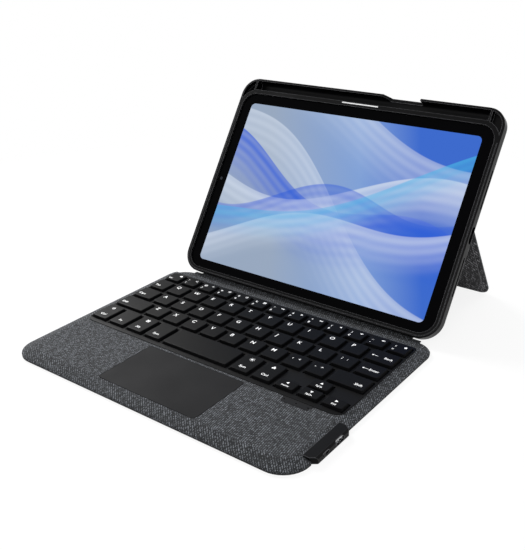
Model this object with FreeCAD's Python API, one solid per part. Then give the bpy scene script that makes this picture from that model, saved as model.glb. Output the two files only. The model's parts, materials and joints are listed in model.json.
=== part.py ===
"""Tablet keyboard case: keyboard base, folding spine, tablet shell and kickstand.

Millimetres. The origin is the centre of the base's underside. +X is to the typist's
right, +Y runs away from the typist and +Z is up. The shell and the kickstand are drawn
lying flat, as (x, t, n): t runs up the shell from its bottom edge and n from its back
to its front. They are then tilted into place.
"""
import FreeCAD, Part
import math
import os

V = FreeCAD.Vector
X_AXIS = V(1, 0, 0)
Z_AXIS = V(0, 0, 1)

# Tablet that the case is made for, and the walls round it
TABLET_W = 239.0
TABLET_H = 165.8
SHELL_SIDE = 3.2
TABLET_T0 = 2.8
TOP_BAND = 12.7
BASE_SIDE = 2.3

# Keyboard base
BASE_D = 176.0
FRONT_R = 19.0
REAR_R = 17.0
FABRIC = 0.6
EDGE_H = 2.4
BASE_H = 5.0
BORDER = 9.0
REAR_BORDER = 5.0
COVER_LAP = 0.4

# Keys: tops, and how the caps widen downwards
KEY_MARGIN = 10.7
ROW_UNITS = 12.127
CAPS_UNITS = 1.183
SHIFT_UNITS = 1.698
KEY_D = 15.0
NUMBER_KEY_D = 12.4
BOTTOM_KEY_D = 21.4
KEY_GAP = 4.1
ROW_GAP = 4.2
ARROW_GAP = 2.6
KEY_TAPER = 0.55
KEY_R = 1.3
KEY_FLATS = 3
KEY_PROUD = 2.0
KEY_SKIRT = 1.2
KEY_TRAVEL = 1.5
KEY_ROOF = 1.1
KEY_WALL = 1.0
KEY_CLEAR = 0.35
LETTER_ROWS = ("qwertyuiop", "asdfghjkl;", "zxcvbnm,.")
NUMBER_ROW = "`1234567890-="
LEFT_MODIFIERS = ("ctrl", "fn", "alt", "sym")
RIGHT_MODIFIERS = ("sym", "ctrl")
ARROWS = ("left", "down", "right")

# Key deck and the stack under it
DECK_SIDE = 2.2
DECK_FRONT = 5.1
DECK_REAR = 4.4
DECK_FRONT_R = 7.0
DECK_REAR_R = 3.5
DECK_BACK = 6.2
DECK_H = 5.4
DECK_PLATE = 0.9
DECK_WALL = 1.0
STACK_Z = 0.9
SUPPORT_T = 0.4
LIGHT_T = 0.3
MEMBRANE_T = 0.3
DOME_R = 3.4
DOME_TOP_R = 1.8
DOME_SIDES = 8
DOME_CLEAR = 0.1
FIT = 0.1

# Trackpad
PAD_W = 87.0
PAD_T = 1.0
PAD_R = 2.5
PAD_FRONT = 10.6
PAD_BACK = 2.5
PAD_PROUD = 0.05
PAD_GAP = 0.4
PAD_BOARD_T = 0.8
PAD_POCKET_Z = 1.0
PAD_SWITCH = 6.0
PAD_CLICK = 0.5
PAD_LEDGE = 1.2

# Battery, board and magnets in the palm rest
CELL_T = 2.6
CELL_SIDE = 13.0
CELL_PAD = 12.5
BOARD_T = 0.8
BOARD_SIDE = 18.0
BOARD_PAD = 9.5
PALM_FRONT = 17.0
PALM_BACK = 9.7
POCKET_Z = 1.2
MAGNET_W = 16.0
MAGNET_D = 4.0
MAGNET_T = 1.6
MAGNET_X = 60.0
MAGNET_FRONT = 6.0

# Port bar on the right edge
PORT_FRONT = 20.4
PORT_LEN = 40.2
PORT_PROUD = 2.6
PORT_DEPTH = 9.0
PORT_Z0 = 0.3
PORT_Z1 = 4.9
PORT_SLANT = 3.2
PORT_TOP_CHAMFER = 1.4
PORT_WALL = 1.2
USB_RUN = 26.8
USB_W = 8.94
USB_H = 3.26
USB_L = 7.3
USB_SHELL = 0.3
USB_CLEAR = 0.2
USB_TONGUE_W = 6.7
USB_TONGUE_T = 0.7
USB_TONGUE_L = 4.5
SWITCH_RUN = 11.6
SWITCH_SLOT_L = 7.0
SWITCH_SLOT_H = 2.2
KNOB_L = 3.4
KNOB_STEM_CLEAR = 0.3
KNOB_PROUD = 0.5
SWITCH_TRAVEL = 2.4

# Indicator bar in front of the deck
LAMP_SIDE = 28.8
LAMP_W = 24.0
LAMP_D = 6.0
LAMP_SLANT = 2.0
LAMP_T = 1.2
LAMP_PROUD = 0.15
LAMP_PITCH = 9.3
LAMP_R = 0.6

# Spine between the base and the shell
FOLD_GAP = 0.4
FOLD_Z = 2.0
SPINE_REACH = 12.3
SPINE_Z0 = 0.1
SPINE_FABRIC = 0.35
SPINE_CORE = 0.4
SPINE_CORNER_Y = 9.0
SPINE_INSET = 15.0
SPINE_CORE_EDGE = 1.5
SPINE_HINGE_Z = 0.65
HINGE_T = -0.85
HINGE_N = 5.0

# Shell, in its flat frame
TILT = 33.8
SHELL_T = 12.2
SHELL_TOP_R = 15.0
SHELL_BOTTOM_R = 17.0
BACK_EDGE_R = 3.0
FRONT_EDGE_R = 0.8
BOARD_STACK = 2.2
BACK_T = 1.2
FLANGE = 6.0
TABLET_T = 7.0
TABLET_R = 14.0
GLASS_T = 0.7
GLASS_EDGE = 0.5
HOUSING_WALL = 1.2
LIP = 1.2
RIM_LINE = 1.5
RIM_LINE_W = 0.5
RIM_LINE_D = 0.4
BEZEL_SIDE = 10.85
BEZEL_LOW = 8.8
BEZEL_HIGH = 10.1
DISPLAY_R = 4.0
CAMERA_R = 1.4
CAMERA_EDGE = 5.0
ANCHOR_W = 5.0
ANCHOR_T = 0.8
ANCHOR_END = 19.7

# Stylus trough along the top of the shell
RIM_WALL = 2.2
TOP_WALL = 2.0
TROUGH_END = 13.7
TROUGH_FLOOR = 4.2
TROUGH_R = 3.4
END_WALL = 1.6
POCKET_D = 5.0
SIDE_WALL = 2.0
NOTCH_X0 = 16.2
NOTCH_SLOPE = 6.0
NOTCH_X1 = 50.3
WINDOW_X0 = -18.0
WINDOW_X1 = 16.0
WINDOW_W = 0.9
WINDOW_D = 0.8

# Openings in the side walls for the tablet's port and speakers
SIDE_PORT_LOW = 1.5
SIDE_PORT_L = 14.0
SIDE_PORT_H = 6.5
SPEAKER_L = 31.0
SPEAKER_H = 2.6
SPEAKER_STEP = 34.0
SIDE_N = 7.0
REAR_CAM_SIDE = 26.7
REAR_CAM_TOP = 35.3
REAR_CAM_W = 24.0
REAR_CAM_R = 6.0
REAR_CAM_LENS_R = 5.0
REAR_CAM_RIM = 1.5

# Boards on the back, and the kickstand's hinge
BOARD_EDGE = 3.7
BOARD_TOP_EDGE = 1.7
BOARD_TOP_R = 13.0
SKIN = 0.4
LINING = 0.3
STAND_RAISE = 1.05
STAND_GAP = 1.6
STAND_FOOT_T = 1.0
STAND_R = 9.0
STAND_EDGE = 0.8
HINGE_SIDE = 49.0
LEAF_LEN = 30.0
LEAF_REACH = 11.0
LEAF_T = 0.5
KNUCKLES = 3
KNUCKLE_R = 0.85
KNUCKLE_GAP = 0.2
PIN_R = 0.5
PIN_CLEAR = 0.04
LEAF_FIT = 0.05

# Places worked out from the sizes above
TABLET_T1 = TABLET_T0 + TABLET_H
SHELL_W = TABLET_W + 2 * SHELL_SIDE
SHELL_H = TABLET_T1 + TOP_BAND
HALF_W = SHELL_W / 2 + BASE_SIDE
FRONT_Y = -BASE_D / 2
REAR_Y = BASE_D / 2
SPINE_T = 2 * SPINE_FABRIC + SPINE_CORE
MEMBRANE_TOP = STACK_Z + SUPPORT_T + LIGHT_T + MEMBRANE_T
KEY_TOP = DECK_H + KEY_PROUD
KEY_BOTTOM = DECK_H - KEY_SKIRT
KEY_AREA_W = 2 * (HALF_W - KEY_MARGIN)
KEY_STEP = KEY_AREA_W / ROW_UNITS
KEY_W = KEY_STEP - KEY_GAP
DECK_Y1 = REAR_Y - DECK_BACK
KEY_REAR_Y = DECK_Y1 - DECK_REAR
KEY_FRONT_Y = (KEY_REAR_Y - NUMBER_KEY_D - BOTTOM_KEY_D - ROW_GAP
               - len(LETTER_ROWS) * (KEY_D + ROW_GAP))
DECK_HALF = KEY_AREA_W / 2 + DECK_SIDE
DECK_Y0 = KEY_FRONT_Y - DECK_FRONT
PAD_FRONT_Y = FRONT_Y + PAD_FRONT
PAD_REAR_Y = DECK_Y0 - PAD_BACK
PALM_Y0 = FRONT_Y + PALM_FRONT
PALM_Y1 = DECK_Y0 - PALM_BACK
CELL_W = HALF_W - CELL_SIDE - PAD_W / 2 - CELL_PAD
CELL_X = CELL_SIDE + CELL_W / 2 - HALF_W
BOARD_W = HALF_W - BOARD_SIDE - PAD_W / 2 - BOARD_PAD
BOARD_X = HALF_W - BOARD_SIDE - BOARD_W / 2
MAGNET_Y = FRONT_Y + MAGNET_FRONT
LAMP_X = KEY_AREA_W / 2 - LAMP_SIDE
PORT_FRONT_Y = FRONT_Y + PORT_FRONT
USB_Y = PORT_FRONT_Y + USB_RUN
SWITCH_Y = PORT_FRONT_Y + SWITCH_RUN
PAD_TOP = BASE_H + PAD_PROUD
PORT_X = HALF_W + PORT_PROUD
PORT_X0 = PORT_X - PORT_DEPTH
PORT_Z = (PORT_Z0 + PORT_Z1) / 2
BACK_N = BOARD_STACK
BACK_N1 = BACK_N + BACK_T
TABLET_N0 = BACK_N1 + FIT
GLASS_N = TABLET_N0 + TABLET_T
TROUGH_T0 = TABLET_T1 + FIT + RIM_WALL
TROUGH_T1 = SHELL_H - TOP_WALL
TROUGH_HALF = SHELL_W / 2 - TROUGH_END
TABLET_MIDDLE_T = TABLET_T0 + TABLET_H / 2
ANCHOR_HALF = SHELL_W / 2 - ANCHOR_END
REAR_CAM_X = REAR_CAM_SIDE - SHELL_W / 2
REAR_CAM_T = SHELL_H - REAR_CAM_TOP
BOARD_HALF = SHELL_W / 2 - BOARD_EDGE
STAND_HINGE_T = SHELL_H / 2 + STAND_RAISE
STAND_LEN = STAND_HINGE_T - STAND_FOOT_T
HINGE_X = BOARD_HALF - HINGE_SIDE
STAND_N = (SKIN + BOARD_STACK) / 2
FOLD_Y = REAR_Y + FOLD_GAP / 2
SPINE_Y1 = FOLD_Y + SPINE_REACH

tilt = math.radians(TILT)
UP = V(0, math.sin(tilt), math.cos(tilt))
OUT = V(0, -math.cos(tilt), math.sin(tilt))
SHELL_ORIGIN = V(0, SPINE_Y1, SPINE_HINGE_Z) - UP * HINGE_T - OUT * HINGE_N
SHELL_PLACE = FreeCAD.Placement(SHELL_ORIGIN, FreeCAD.Rotation(X_AXIS, 90 - TILT))

# The kickstand opens until the inner edge of its foot meets the table
stand_pivot = SHELL_ORIGIN + UP * STAND_HINGE_T + OUT * STAND_N
foot_inner = BOARD_STACK - STAND_N
foot_reach = math.hypot(STAND_LEN, foot_inner)
STAND_DROP = math.degrees(math.asin(stand_pivot.z / foot_reach) - math.atan2(foot_inner, STAND_LEN))
STAND_OPEN = 90 + TILT - STAND_DROP


def rounded(x0, x1, y0, y1, radii, z=0.0):
    """Wire of a rectangle with corner radii front-left, front-right, rear-right, rear-left."""
    corners = [(x0, y0, 1, 1), (x1, y0, -1, 1), (x1, y1, -1, -1), (x0, y1, 1, -1)]
    half = math.sqrt(0.5)
    stops = []
    for i, ((x, y, sx, sy), r) in enumerate(zip(corners, radii)):
        along_x = V(x + sx * r, y, z)
        along_y = V(x, y + sy * r, z)
        middle = V(x + sx * r * (1 - half), y + sy * r * (1 - half), z)
        stops.append((along_y, middle, along_x) if i % 2 == 0 else (along_x, middle, along_y))
    edges = []
    for i, (start, middle, end) in enumerate(stops):
        if start.distanceToPoint(end) > 1e-6:
            edges.append(Part.Arc(start, middle, end).toShape())
        following = stops[(i + 1) % 4][0]
        edges.append(Part.LineSegment(end, following).toShape())
    return Part.Wire(edges)


def slab(wire, z0, z1):
    """Solid between two heights over a wire drawn at height 0."""
    solid = Part.Face(wire).extrude(V(0, 0, z1 - z0))
    solid.translate(V(0, 0, z0))
    return solid


def block(x0, x1, y0, y1, z0, z1):
    """Box between two corners."""
    return Part.makeBox(x1 - x0, y1 - y0, z1 - z0, V(x0, y0, z0))


def plate(x0, x1, y0, y1, r, z0, z1):
    """Flat piece with four equal rounded corners."""
    return slab(rounded(x0, x1, y0, y1, (r,) * 4), z0, z1)


def prism(points, direction):
    """Solid swept from a closed polygon along a direction."""
    return Part.Face(Part.makePolygon(points + [points[0]])).extrude(direction)


def group(solids):
    """Separate solids kept in one node."""
    return Part.makeCompound(solids)


def base_wire(inset, rear_inset, z):
    """Outline of the base, whose rear corners run on into the spine."""
    x = HALF_W - inset
    y0 = FRONT_Y + inset
    y1 = REAR_Y - rear_inset
    front_r = FRONT_R - inset
    rear_r = REAR_R - inset
    centre = V(x - rear_r, REAR_Y + SPINE_CORNER_Y - inset - rear_r, z)
    turn = math.asin((y1 - centre.y) / rear_r)
    corner = rounded(-x, x, y0, y1, (front_r, front_r, 0.0, 0.0), z)
    kept = [edge for edge in corner.Edges if edge.BoundBox.YMin < FRONT_Y + FRONT_R - 1e-6]
    flat_arcs = [edge for edge in kept if edge.BoundBox.YMax < centre.y - 1e-6]
    right = [V(centre.x + rear_r * math.cos(a), centre.y + rear_r * math.sin(a), z)
             for a in (0.0, turn / 2, turn)]
    left = [V(-p.x, p.y, p.z) for p in right]
    edges = flat_arcs + [
        Part.LineSegment(V(x, y0 + front_r, z), right[0]).toShape(),
        Part.Arc(*right).toShape(),
        Part.LineSegment(right[2], left[2]).toShape(),
        Part.Arc(left[2], left[1], left[0]).toShape(),
        Part.LineSegment(left[0], V(-x, y0 + front_r, z)).toShape(),
    ]
    return Part.Wire(Part.__sortEdges__(edges))


def sloped_body(inset, z0, edge_z, top_z):
    """Slab of the base with a straight edge and a border that rises to the plateau."""
    low = Part.Face(base_wire(inset, inset, z0)).extrude(V(0, 0, edge_z - z0))
    rise = Part.makeLoft([base_wire(inset, inset, edge_z),
                          base_wire(BORDER, REAR_BORDER, top_z)], True, True)
    return low.fuse(rise).removeSplitter()


def deck_wire(grow=0.0):
    """Outline of the key deck."""
    return rounded(-DECK_HALF - grow, DECK_HALF + grow, DECK_Y0 - grow, DECK_Y1 + grow,
                   (DECK_FRONT_R, DECK_FRONT_R, DECK_REAR_R, DECK_REAR_R))


def lamp_points(grow, z):
    """Corners of the indicator bar, which narrows towards the typist."""
    half = LAMP_W / 2 + grow
    front = DECK_Y0 - LAMP_D - grow
    rear = DECK_Y0 - FIT
    return [V(LAMP_X - half, rear, z), V(LAMP_X - half + LAMP_SLANT, front, z),
            V(LAMP_X + half - LAMP_SLANT, front, z), V(LAMP_X + half, rear, z)]


def palm_box(x, w, t, grow=0.0):
    """Space of a flat piece in the palm rest."""
    return block(x - w / 2 - grow, x + w / 2 + grow, PALM_Y0 - grow, PALM_Y1 + grow,
                 POCKET_Z - grow, POCKET_Z + t + grow)


def magnet_boxes(grow=0.0):
    """Spaces of the two closing magnets."""
    return [block(x - MAGNET_W / 2 - grow, x + MAGNET_W / 2 + grow,
                  MAGNET_Y - MAGNET_D / 2 - grow, MAGNET_Y + MAGNET_D / 2 + grow,
                  POCKET_Z - grow, POCKET_Z + MAGNET_T + grow) for x in (-MAGNET_X, MAGNET_X)]


def port_space():
    """Space that the port bar takes from the edge of the base."""
    return block(PORT_X0 - FIT, PORT_X + FIT, PORT_FRONT_Y - FIT, PORT_FRONT_Y + PORT_LEN + FIT,
                 -FIT, BASE_H + FIT)


def pad_opening(grow, z0, z1):
    """Column over the trackpad."""
    return plate(-PAD_W / 2 - grow, PAD_W / 2 + grow, PAD_FRONT_Y - grow, PAD_REAR_Y + grow,
                 PAD_R + grow, z0, z1)


def base_bottom_cover():
    """Fabric under the base."""
    return Part.Face(base_wire(COVER_LAP, COVER_LAP, 0.0)).extrude(V(0, 0, FABRIC)).cut(port_space())


def base_core():
    """Solid under the top cover, without its pockets."""
    return sloped_body(FABRIC, FABRIC, EDGE_H - FABRIC, BASE_H - FABRIC)


def base_core_frame():
    """Moulded core with pockets for the keys, trackpad, cell, board and magnets."""
    core = base_core()
    top = BASE_H + FIT
    pockets = [slab(deck_wire(FIT), STACK_Z, top), pad_opening(PAD_GAP, PAD_POCKET_Z, top),
               palm_box(CELL_X, CELL_W, CELL_T, FIT),
               palm_box(BOARD_X, BOARD_W, CELL_T, FIT), port_space(),
               prism(lamp_points(FIT, BASE_H - LAMP_T), V(0, 0, LAMP_T))] + magnet_boxes(FIT)
    for pocket in pockets:
        core = core.cut(pocket)
    return core


def base_top_cover():
    """Fabric over the base, with windows for the deck, trackpad, indicator and port bar."""
    cover = sloped_body(0.0, FABRIC, EDGE_H, BASE_H).cut(base_core())
    top = BASE_H + FIT
    windows = [slab(deck_wire(FIT), STACK_Z, top), pad_opening(PAD_GAP, PAD_POCKET_Z, top),
               prism(lamp_points(FIT, BASE_H - LAMP_T), V(0, 0, LAMP_T + FIT)), port_space()]
    for window in windows:
        cover = cover.cut(window)
    return cover


def row_keys():
    """Key tops as name to rectangles (x0, x1, y0, y1), row by row from the typist."""
    left = -KEY_AREA_W / 2
    step = KEY_STEP
    keys = {}

    def rect(x, w, y, d):
        return (x, x + w, y, y + d)

    y = KEY_FRONT_Y
    right = KEY_AREA_W / 2
    keys["left_modifier_keys"] = [rect(left + i * step, KEY_W, y, BOTTOM_KEY_D)
                                  for i in range(len(LEFT_MODIFIERS))]
    space_x = left + len(LEFT_MODIFIERS) * step
    tail_x = right - (len(RIGHT_MODIFIERS) + len(ARROWS)) * step + KEY_GAP
    keys["space_bar"] = [rect(space_x, tail_x - KEY_GAP - space_x, y, BOTTOM_KEY_D)]
    keys["right_modifier_keys"] = [rect(tail_x + i * step, KEY_W, y, BOTTOM_KEY_D)
                                   for i in range(len(RIGHT_MODIFIERS))]
    half_d = (BOTTOM_KEY_D - ARROW_GAP) / 2
    arrow_x = tail_x + len(RIGHT_MODIFIERS) * step
    for i, name in enumerate(ARROWS):
        keys[f"arrow_{name}_key"] = [rect(arrow_x + i * step, KEY_W, y, half_d)]
    keys["arrow_up_key"] = [rect(arrow_x + step, KEY_W, y + half_d + ARROW_GAP, half_d)]

    upper, home, lower = LETTER_ROWS
    rows = [("lower_row_keys", "left_shift_key", SHIFT_UNITS * step, "right_shift_key", lower),
            ("home_row_keys", "caps_key", CAPS_UNITS * step, "enter_key", home),
            ("upper_row_keys", "tab_key", step, "backspace_key", upper)]
    y += BOTTOM_KEY_D + ROW_GAP
    for name, first, first_step, last, letters in rows:
        keys[first] = [rect(left, first_step - KEY_GAP, y, KEY_D)]
        x = left + first_step
        keys[name] = [rect(x + i * step, KEY_W, y, KEY_D) for i in range(len(letters))]
        x += len(letters) * step
        keys[last] = [rect(x, right - x, y, KEY_D)]
        y += KEY_D + ROW_GAP

    number_step = (KEY_AREA_W + KEY_GAP) / len(NUMBER_ROW)
    keys["number_row_keys"] = [rect(left + i * number_step, number_step - KEY_GAP, y, NUMBER_KEY_D)
                               for i in range(len(NUMBER_ROW))]
    return keys


KEYS = row_keys()
ALL_KEYS = [key for keys in KEYS.values() for key in keys]


def frustum(low, high):
    """Solid with flat faces between two loops of as many points."""
    count = len(low)
    faces = [Part.Face(Part.makePolygon(loop + loop[:1])) for loop in (low, high)]
    for i in range(count):
        j = (i + 1) % count
        faces.append(Part.Face(Part.makePolygon([low[i], low[j], high[j], high[i], low[i]])))
    solid = Part.Solid(Part.Shell(faces))
    return solid if solid.Volume > 0 else solid.reversed()


def cap_loop(x0, x1, y0, y1, z):
    """Outline of a keycap, its corners in short flats."""
    centres = [(x1 - KEY_R, y1 - KEY_R), (x0 + KEY_R, y1 - KEY_R),
               (x0 + KEY_R, y0 + KEY_R), (x1 - KEY_R, y0 + KEY_R)]
    points = []
    for corner, (x, y) in enumerate(centres):
        turns = [math.pi / 2 * (corner + i / KEY_FLATS) for i in range(KEY_FLATS + 1)]
        points += [V(x + KEY_R * math.cos(a), y + KEY_R * math.sin(a), z) for a in turns]
    return points


def keycap(x0, x1, y0, y1):
    """Hollow cap whose sides widen downwards."""
    wide = KEY_TAPER
    cap = frustum(cap_loop(x0 - wide, x1 + wide, y0 - wide, y1 + wide, KEY_BOTTOM),
                  cap_loop(x0, x1, y0, y1, KEY_TOP))
    return cap.cut(block(x0 - wide + KEY_WALL, x1 + wide - KEY_WALL, y0 - wide + KEY_WALL,
                         y1 + wide - KEY_WALL, KEY_BOTTOM - FIT, KEY_TOP - KEY_ROOF))


def key_deck():
    """Bezel plate on a skirt, with one opening per key."""
    deck = slab(deck_wire(), MEMBRANE_TOP, DECK_H)
    inside = slab(deck_wire(-DECK_WALL), MEMBRANE_TOP - FIT, DECK_H - DECK_PLATE)
    grow = KEY_TAPER + KEY_CLEAR
    holes = [block(x0 - grow, x1 + grow, y0 - grow, y1 + grow, MEMBRANE_TOP, DECK_H + FIT)
             for x0, x1, y0, y1 in ALL_KEYS]
    rim = [edge for edge in deck.Edges if edge.BoundBox.ZMin > DECK_H - FIT]
    deck = deck.makeFillet(DECK_PLATE / 2, rim)
    return deck.cut(group([inside])).cut(group(holes))


def stack_sheet(z0, thickness):
    """Sheet of the key stack, within the deck's pocket."""
    return slab(deck_wire(), z0, z0 + thickness)


def key_domes():
    """Rubber domes, one under each key, with flat sides."""
    top = KEY_TOP - KEY_ROOF - KEY_TRAVEL - DOME_CLEAR

    def ring(x, y, r, z):
        turns = [2 * math.pi * i / DOME_SIDES for i in range(DOME_SIDES)]
        return [V(x + r * math.cos(a), y + r * math.sin(a), z) for a in turns]

    domes = []
    for x0, x1, y0, y1 in ALL_KEYS:
        x, y = (x0 + x1) / 2, (y0 + y1) / 2
        domes.append(frustum(ring(x, y, DOME_R, MEMBRANE_TOP), ring(x, y, DOME_TOP_R, top)))
    return group(domes)


def trackpad_plate():
    """Click plate, flush with the fabric, hinged at its rear edge."""
    return pad_opening(0.0, PAD_TOP - PAD_T, PAD_TOP)


def trackpad_board():
    """Sensor board in the bottom of the trackpad's pocket, with ledges that carry the plate's rear."""
    grow = PAD_GAP - FIT
    board = pad_opening(grow, PAD_POCKET_Z, PAD_POCKET_Z + PAD_BOARD_T)
    half = PAD_W / 2 - PAD_R
    ledge = block(-half, half, PAD_REAR_Y - PAD_LEDGE, PAD_REAR_Y,
                  PAD_POCKET_Z, PAD_TOP - PAD_T - FIT)
    return board.fuse(ledge).removeSplitter()


def trackpad_switch():
    """Tact switch under the front of the click plate."""
    top = PAD_TOP - PAD_T - PAD_CLICK - FIT
    y = PAD_FRONT_Y + PAD_SWITCH
    return block(-PAD_SWITCH / 2, PAD_SWITCH / 2, y - PAD_SWITCH / 2, y + PAD_SWITCH / 2,
                 PAD_POCKET_Z + PAD_BOARD_T, top)


def slot_solid(y, z, w, h, x0, x1):
    """Straight column along X with a round-ended section."""
    r = h / 2 - FIT / 10
    wire = rounded(y - w / 2, y + w / 2, z - h / 2, z + h / 2, (r,) * 4)
    solid = Part.Face(wire).extrude(V(0, 0, x1 - x0))
    turn = FreeCAD.Rotation(V(0, 1, 0), V(0, 0, 1), V(1, 0, 0), "XYZ")
    solid.Placement = FreeCAD.Placement(V(x0, 0, 0), turn)
    return solid


def port_housing():
    """Bar with slanted ends, an opening for the socket and a slot for the switch."""
    y0, y1 = PORT_FRONT_Y, PORT_FRONT_Y + PORT_LEN
    outer = HALF_W
    bar = prism([V(PORT_X0, y0, PORT_Z0), V(outer - PORT_SLANT / 2, y0, PORT_Z0),
                 V(PORT_X, y0 + PORT_SLANT, PORT_Z0), V(PORT_X, y1 - PORT_SLANT, PORT_Z0),
                 V(outer - PORT_SLANT / 2, y1, PORT_Z0), V(PORT_X0, y1, PORT_Z0)],
                V(0, 0, PORT_Z1 - PORT_Z0))
    top_edge = [edge for edge in bar.Edges if edge.BoundBox.ZMin > PORT_Z1 - FIT
                and edge.BoundBox.XMin > PORT_X - FIT]
    bar = bar.makeChamfer(PORT_TOP_CHAMFER, top_edge)
    grow = 2 * USB_CLEAR
    bar = bar.cut(slot_solid(USB_Y, PORT_Z, USB_W + grow, USB_H + grow, PORT_X0 - FIT, PORT_X + FIT))
    inner = block(PORT_X0 - FIT, PORT_X - PORT_WALL, SWITCH_Y - SWITCH_SLOT_L / 2 - PORT_WALL,
                  SWITCH_Y + SWITCH_SLOT_L / 2 + PORT_WALL, PORT_Z0 + PORT_WALL, PORT_Z1 - PORT_WALL)
    slot = slot_solid(SWITCH_Y, PORT_Z, SWITCH_SLOT_L, SWITCH_SLOT_H, PORT_X0, PORT_X + FIT)
    return bar.cut(inner).cut(slot)


def usb_c_socket():
    """Metal shell open at its mouth, with a contact tongue."""
    x0, x1 = PORT_X - FIT - USB_L, PORT_X - PORT_WALL / 2
    shell = slot_solid(USB_Y, PORT_Z, USB_W, USB_H, x0, x1)
    bore = slot_solid(USB_Y, PORT_Z, USB_W - 2 * USB_SHELL, USB_H - 2 * USB_SHELL, x0 + USB_SHELL, x1 + FIT)
    tongue = block(x0, x0 + USB_SHELL + USB_TONGUE_L, USB_Y - USB_TONGUE_W / 2, USB_Y + USB_TONGUE_W / 2,
                   PORT_Z - USB_TONGUE_T / 2, PORT_Z + USB_TONGUE_T / 2)
    return shell.cut(bore).fuse(tongue).removeSplitter()


def power_switch_knob():
    """Slider with a foot behind the wall, standing at the front end of its slot."""
    h = SWITCH_SLOT_H - 2 * KNOB_STEM_CLEAR
    y = SWITCH_Y - SWITCH_TRAVEL / 2
    stem = block(PORT_X - PORT_WALL - FIT, PORT_X - KNOB_PROUD, y - KNOB_L / 2, y + KNOB_L / 2,
                 PORT_Z - h / 2, PORT_Z + h / 2)
    ribs = [block(PORT_X - KNOB_PROUD - FIT, PORT_X - FIT, y + i * KNOB_L / 4 - KNOB_L / 16,
                  y + i * KNOB_L / 4 + KNOB_L / 16, PORT_Z - h / 2, PORT_Z + h / 2) for i in (-1, 0, 1)]
    foot = block(PORT_X0 + PORT_WALL, PORT_X - PORT_WALL - FIT, y - KNOB_L / 2, y + KNOB_L / 2,
                 PORT_Z0 + PORT_WALL + FIT, PORT_Z1 - PORT_WALL - FIT)
    knob = stem.fuse(foot)
    for rib in ribs:
        knob = knob.fuse(rib)
    return knob.removeSplitter()


def lamp_discs():
    """The three light pipes of the indicator bar."""
    y = DECK_Y0 - LAMP_D / 2
    z = BASE_H - LAMP_T / 2
    return [Part.makeCylinder(LAMP_R, LAMP_T / 2 + LAMP_PROUD, V(LAMP_X + i * LAMP_PITCH, y, z), Z_AXIS)
            for i in (-1, 0, 1)]


def indicator_bar():
    """Plastic bar with three light pipes through its top."""
    bar = prism(lamp_points(0.0, BASE_H - LAMP_T + FIT), V(0, 0, LAMP_T - FIT + LAMP_PROUD))
    for disc in lamp_discs():
        bar = bar.cut(disc)
    return bar


def spine_wire(inset, z):
    """Outline of the spine: the base's rear corners, then a narrower strip under the shell."""
    wide = HALF_W - REAR_R
    r = REAR_R
    y0 = REAR_Y + FOLD_GAP
    y_corner = REAR_Y + SPINE_CORNER_Y
    centre_y = y_corner - r
    a0 = math.asin((y0 - centre_y) / r)
    mid = (a0 + math.pi / 2) / 2
    arc = [V(wide + (r - inset) * math.cos(a), centre_y + (r - inset) * math.sin(a), z)
           for a in (a0, mid, math.pi / 2)]
    narrow = HALF_W - SPINE_INSET - inset
    y1 = SPINE_Y1 - FOLD_GAP - inset
    start = V(arc[0].x, y0 + inset, z)
    right = [start, V(narrow, arc[2].y, z), V(narrow, y1, z)]
    left = [V(-p.x, p.y, p.z) for p in right]
    bend = V(arc[1].x, max(arc[1].y, start.y + inset), z)
    edges = [Part.LineSegment(left[0], right[0]).toShape(),
             Part.Arc(right[0], bend, right[1]).toShape(),
             Part.LineSegment(right[1], right[2]).toShape(),
             Part.LineSegment(right[2], left[2]).toShape(),
             Part.LineSegment(left[2], left[1]).toShape(),
             Part.Arc(left[1], V(-bend.x, bend.y, z), left[0]).toShape()]
    return Part.Wire(edges)


def spine_core(grow):
    """Stiffener strip inside the spine."""
    half = HALF_W - SPINE_INSET - SPINE_CORE_EDGE + grow
    return block(-half, half, REAR_Y + FOLD_GAP + SPINE_CORE_EDGE - grow,
                 SPINE_Y1 - FOLD_GAP - SPINE_CORE_EDGE + grow,
                 SPINE_Z0 + SPINE_FABRIC, SPINE_Z0 + SPINE_FABRIC + SPINE_CORE)


def spine_cover():
    """Two layers of fabric closed round the stiffener."""
    cover = Part.Face(spine_wire(0.0, SPINE_Z0)).extrude(V(0, 0, SPINE_T))
    return cover.cut(spine_core(FIT))


def spine_stiffener():
    """Thin board that keeps the spine flat."""
    return spine_core(0.0)


def shell_wire(inset, z=0.0):
    """Outline of the shell."""
    half = SHELL_W / 2 - inset
    low, high = SHELL_BOTTOM_R - inset, SHELL_TOP_R - inset
    return rounded(-half, half, inset, SHELL_H - inset, (low, low, high, high), z)


def tablet_solid(grow, n0, n1):
    """Column over the tablet's outline."""
    half = TABLET_W / 2 + grow
    return plate(-half, half, TABLET_T0 - grow, TABLET_T1 + grow, TABLET_R + grow, n0, n1)


def back_panel_solid(inset, n0, n1):
    """Column over the back panel, inside the frame's flange."""
    half = SHELL_W / 2 - FLANGE - inset
    r = SHELL_BOTTOM_R - FLANGE - inset
    return plate(-half, half, FLANGE + inset, TABLET_T1 - FLANGE / 2 - inset, r, n0, n1)


def rear_camera_hole(grow, n0, n1):
    """Column over the rear camera."""
    half = REAR_CAM_W / 2 + grow
    return plate(REAR_CAM_X - half, REAR_CAM_X + half, REAR_CAM_T - half, REAR_CAM_T + half,
                 REAR_CAM_R + grow, n0, n1)


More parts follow.
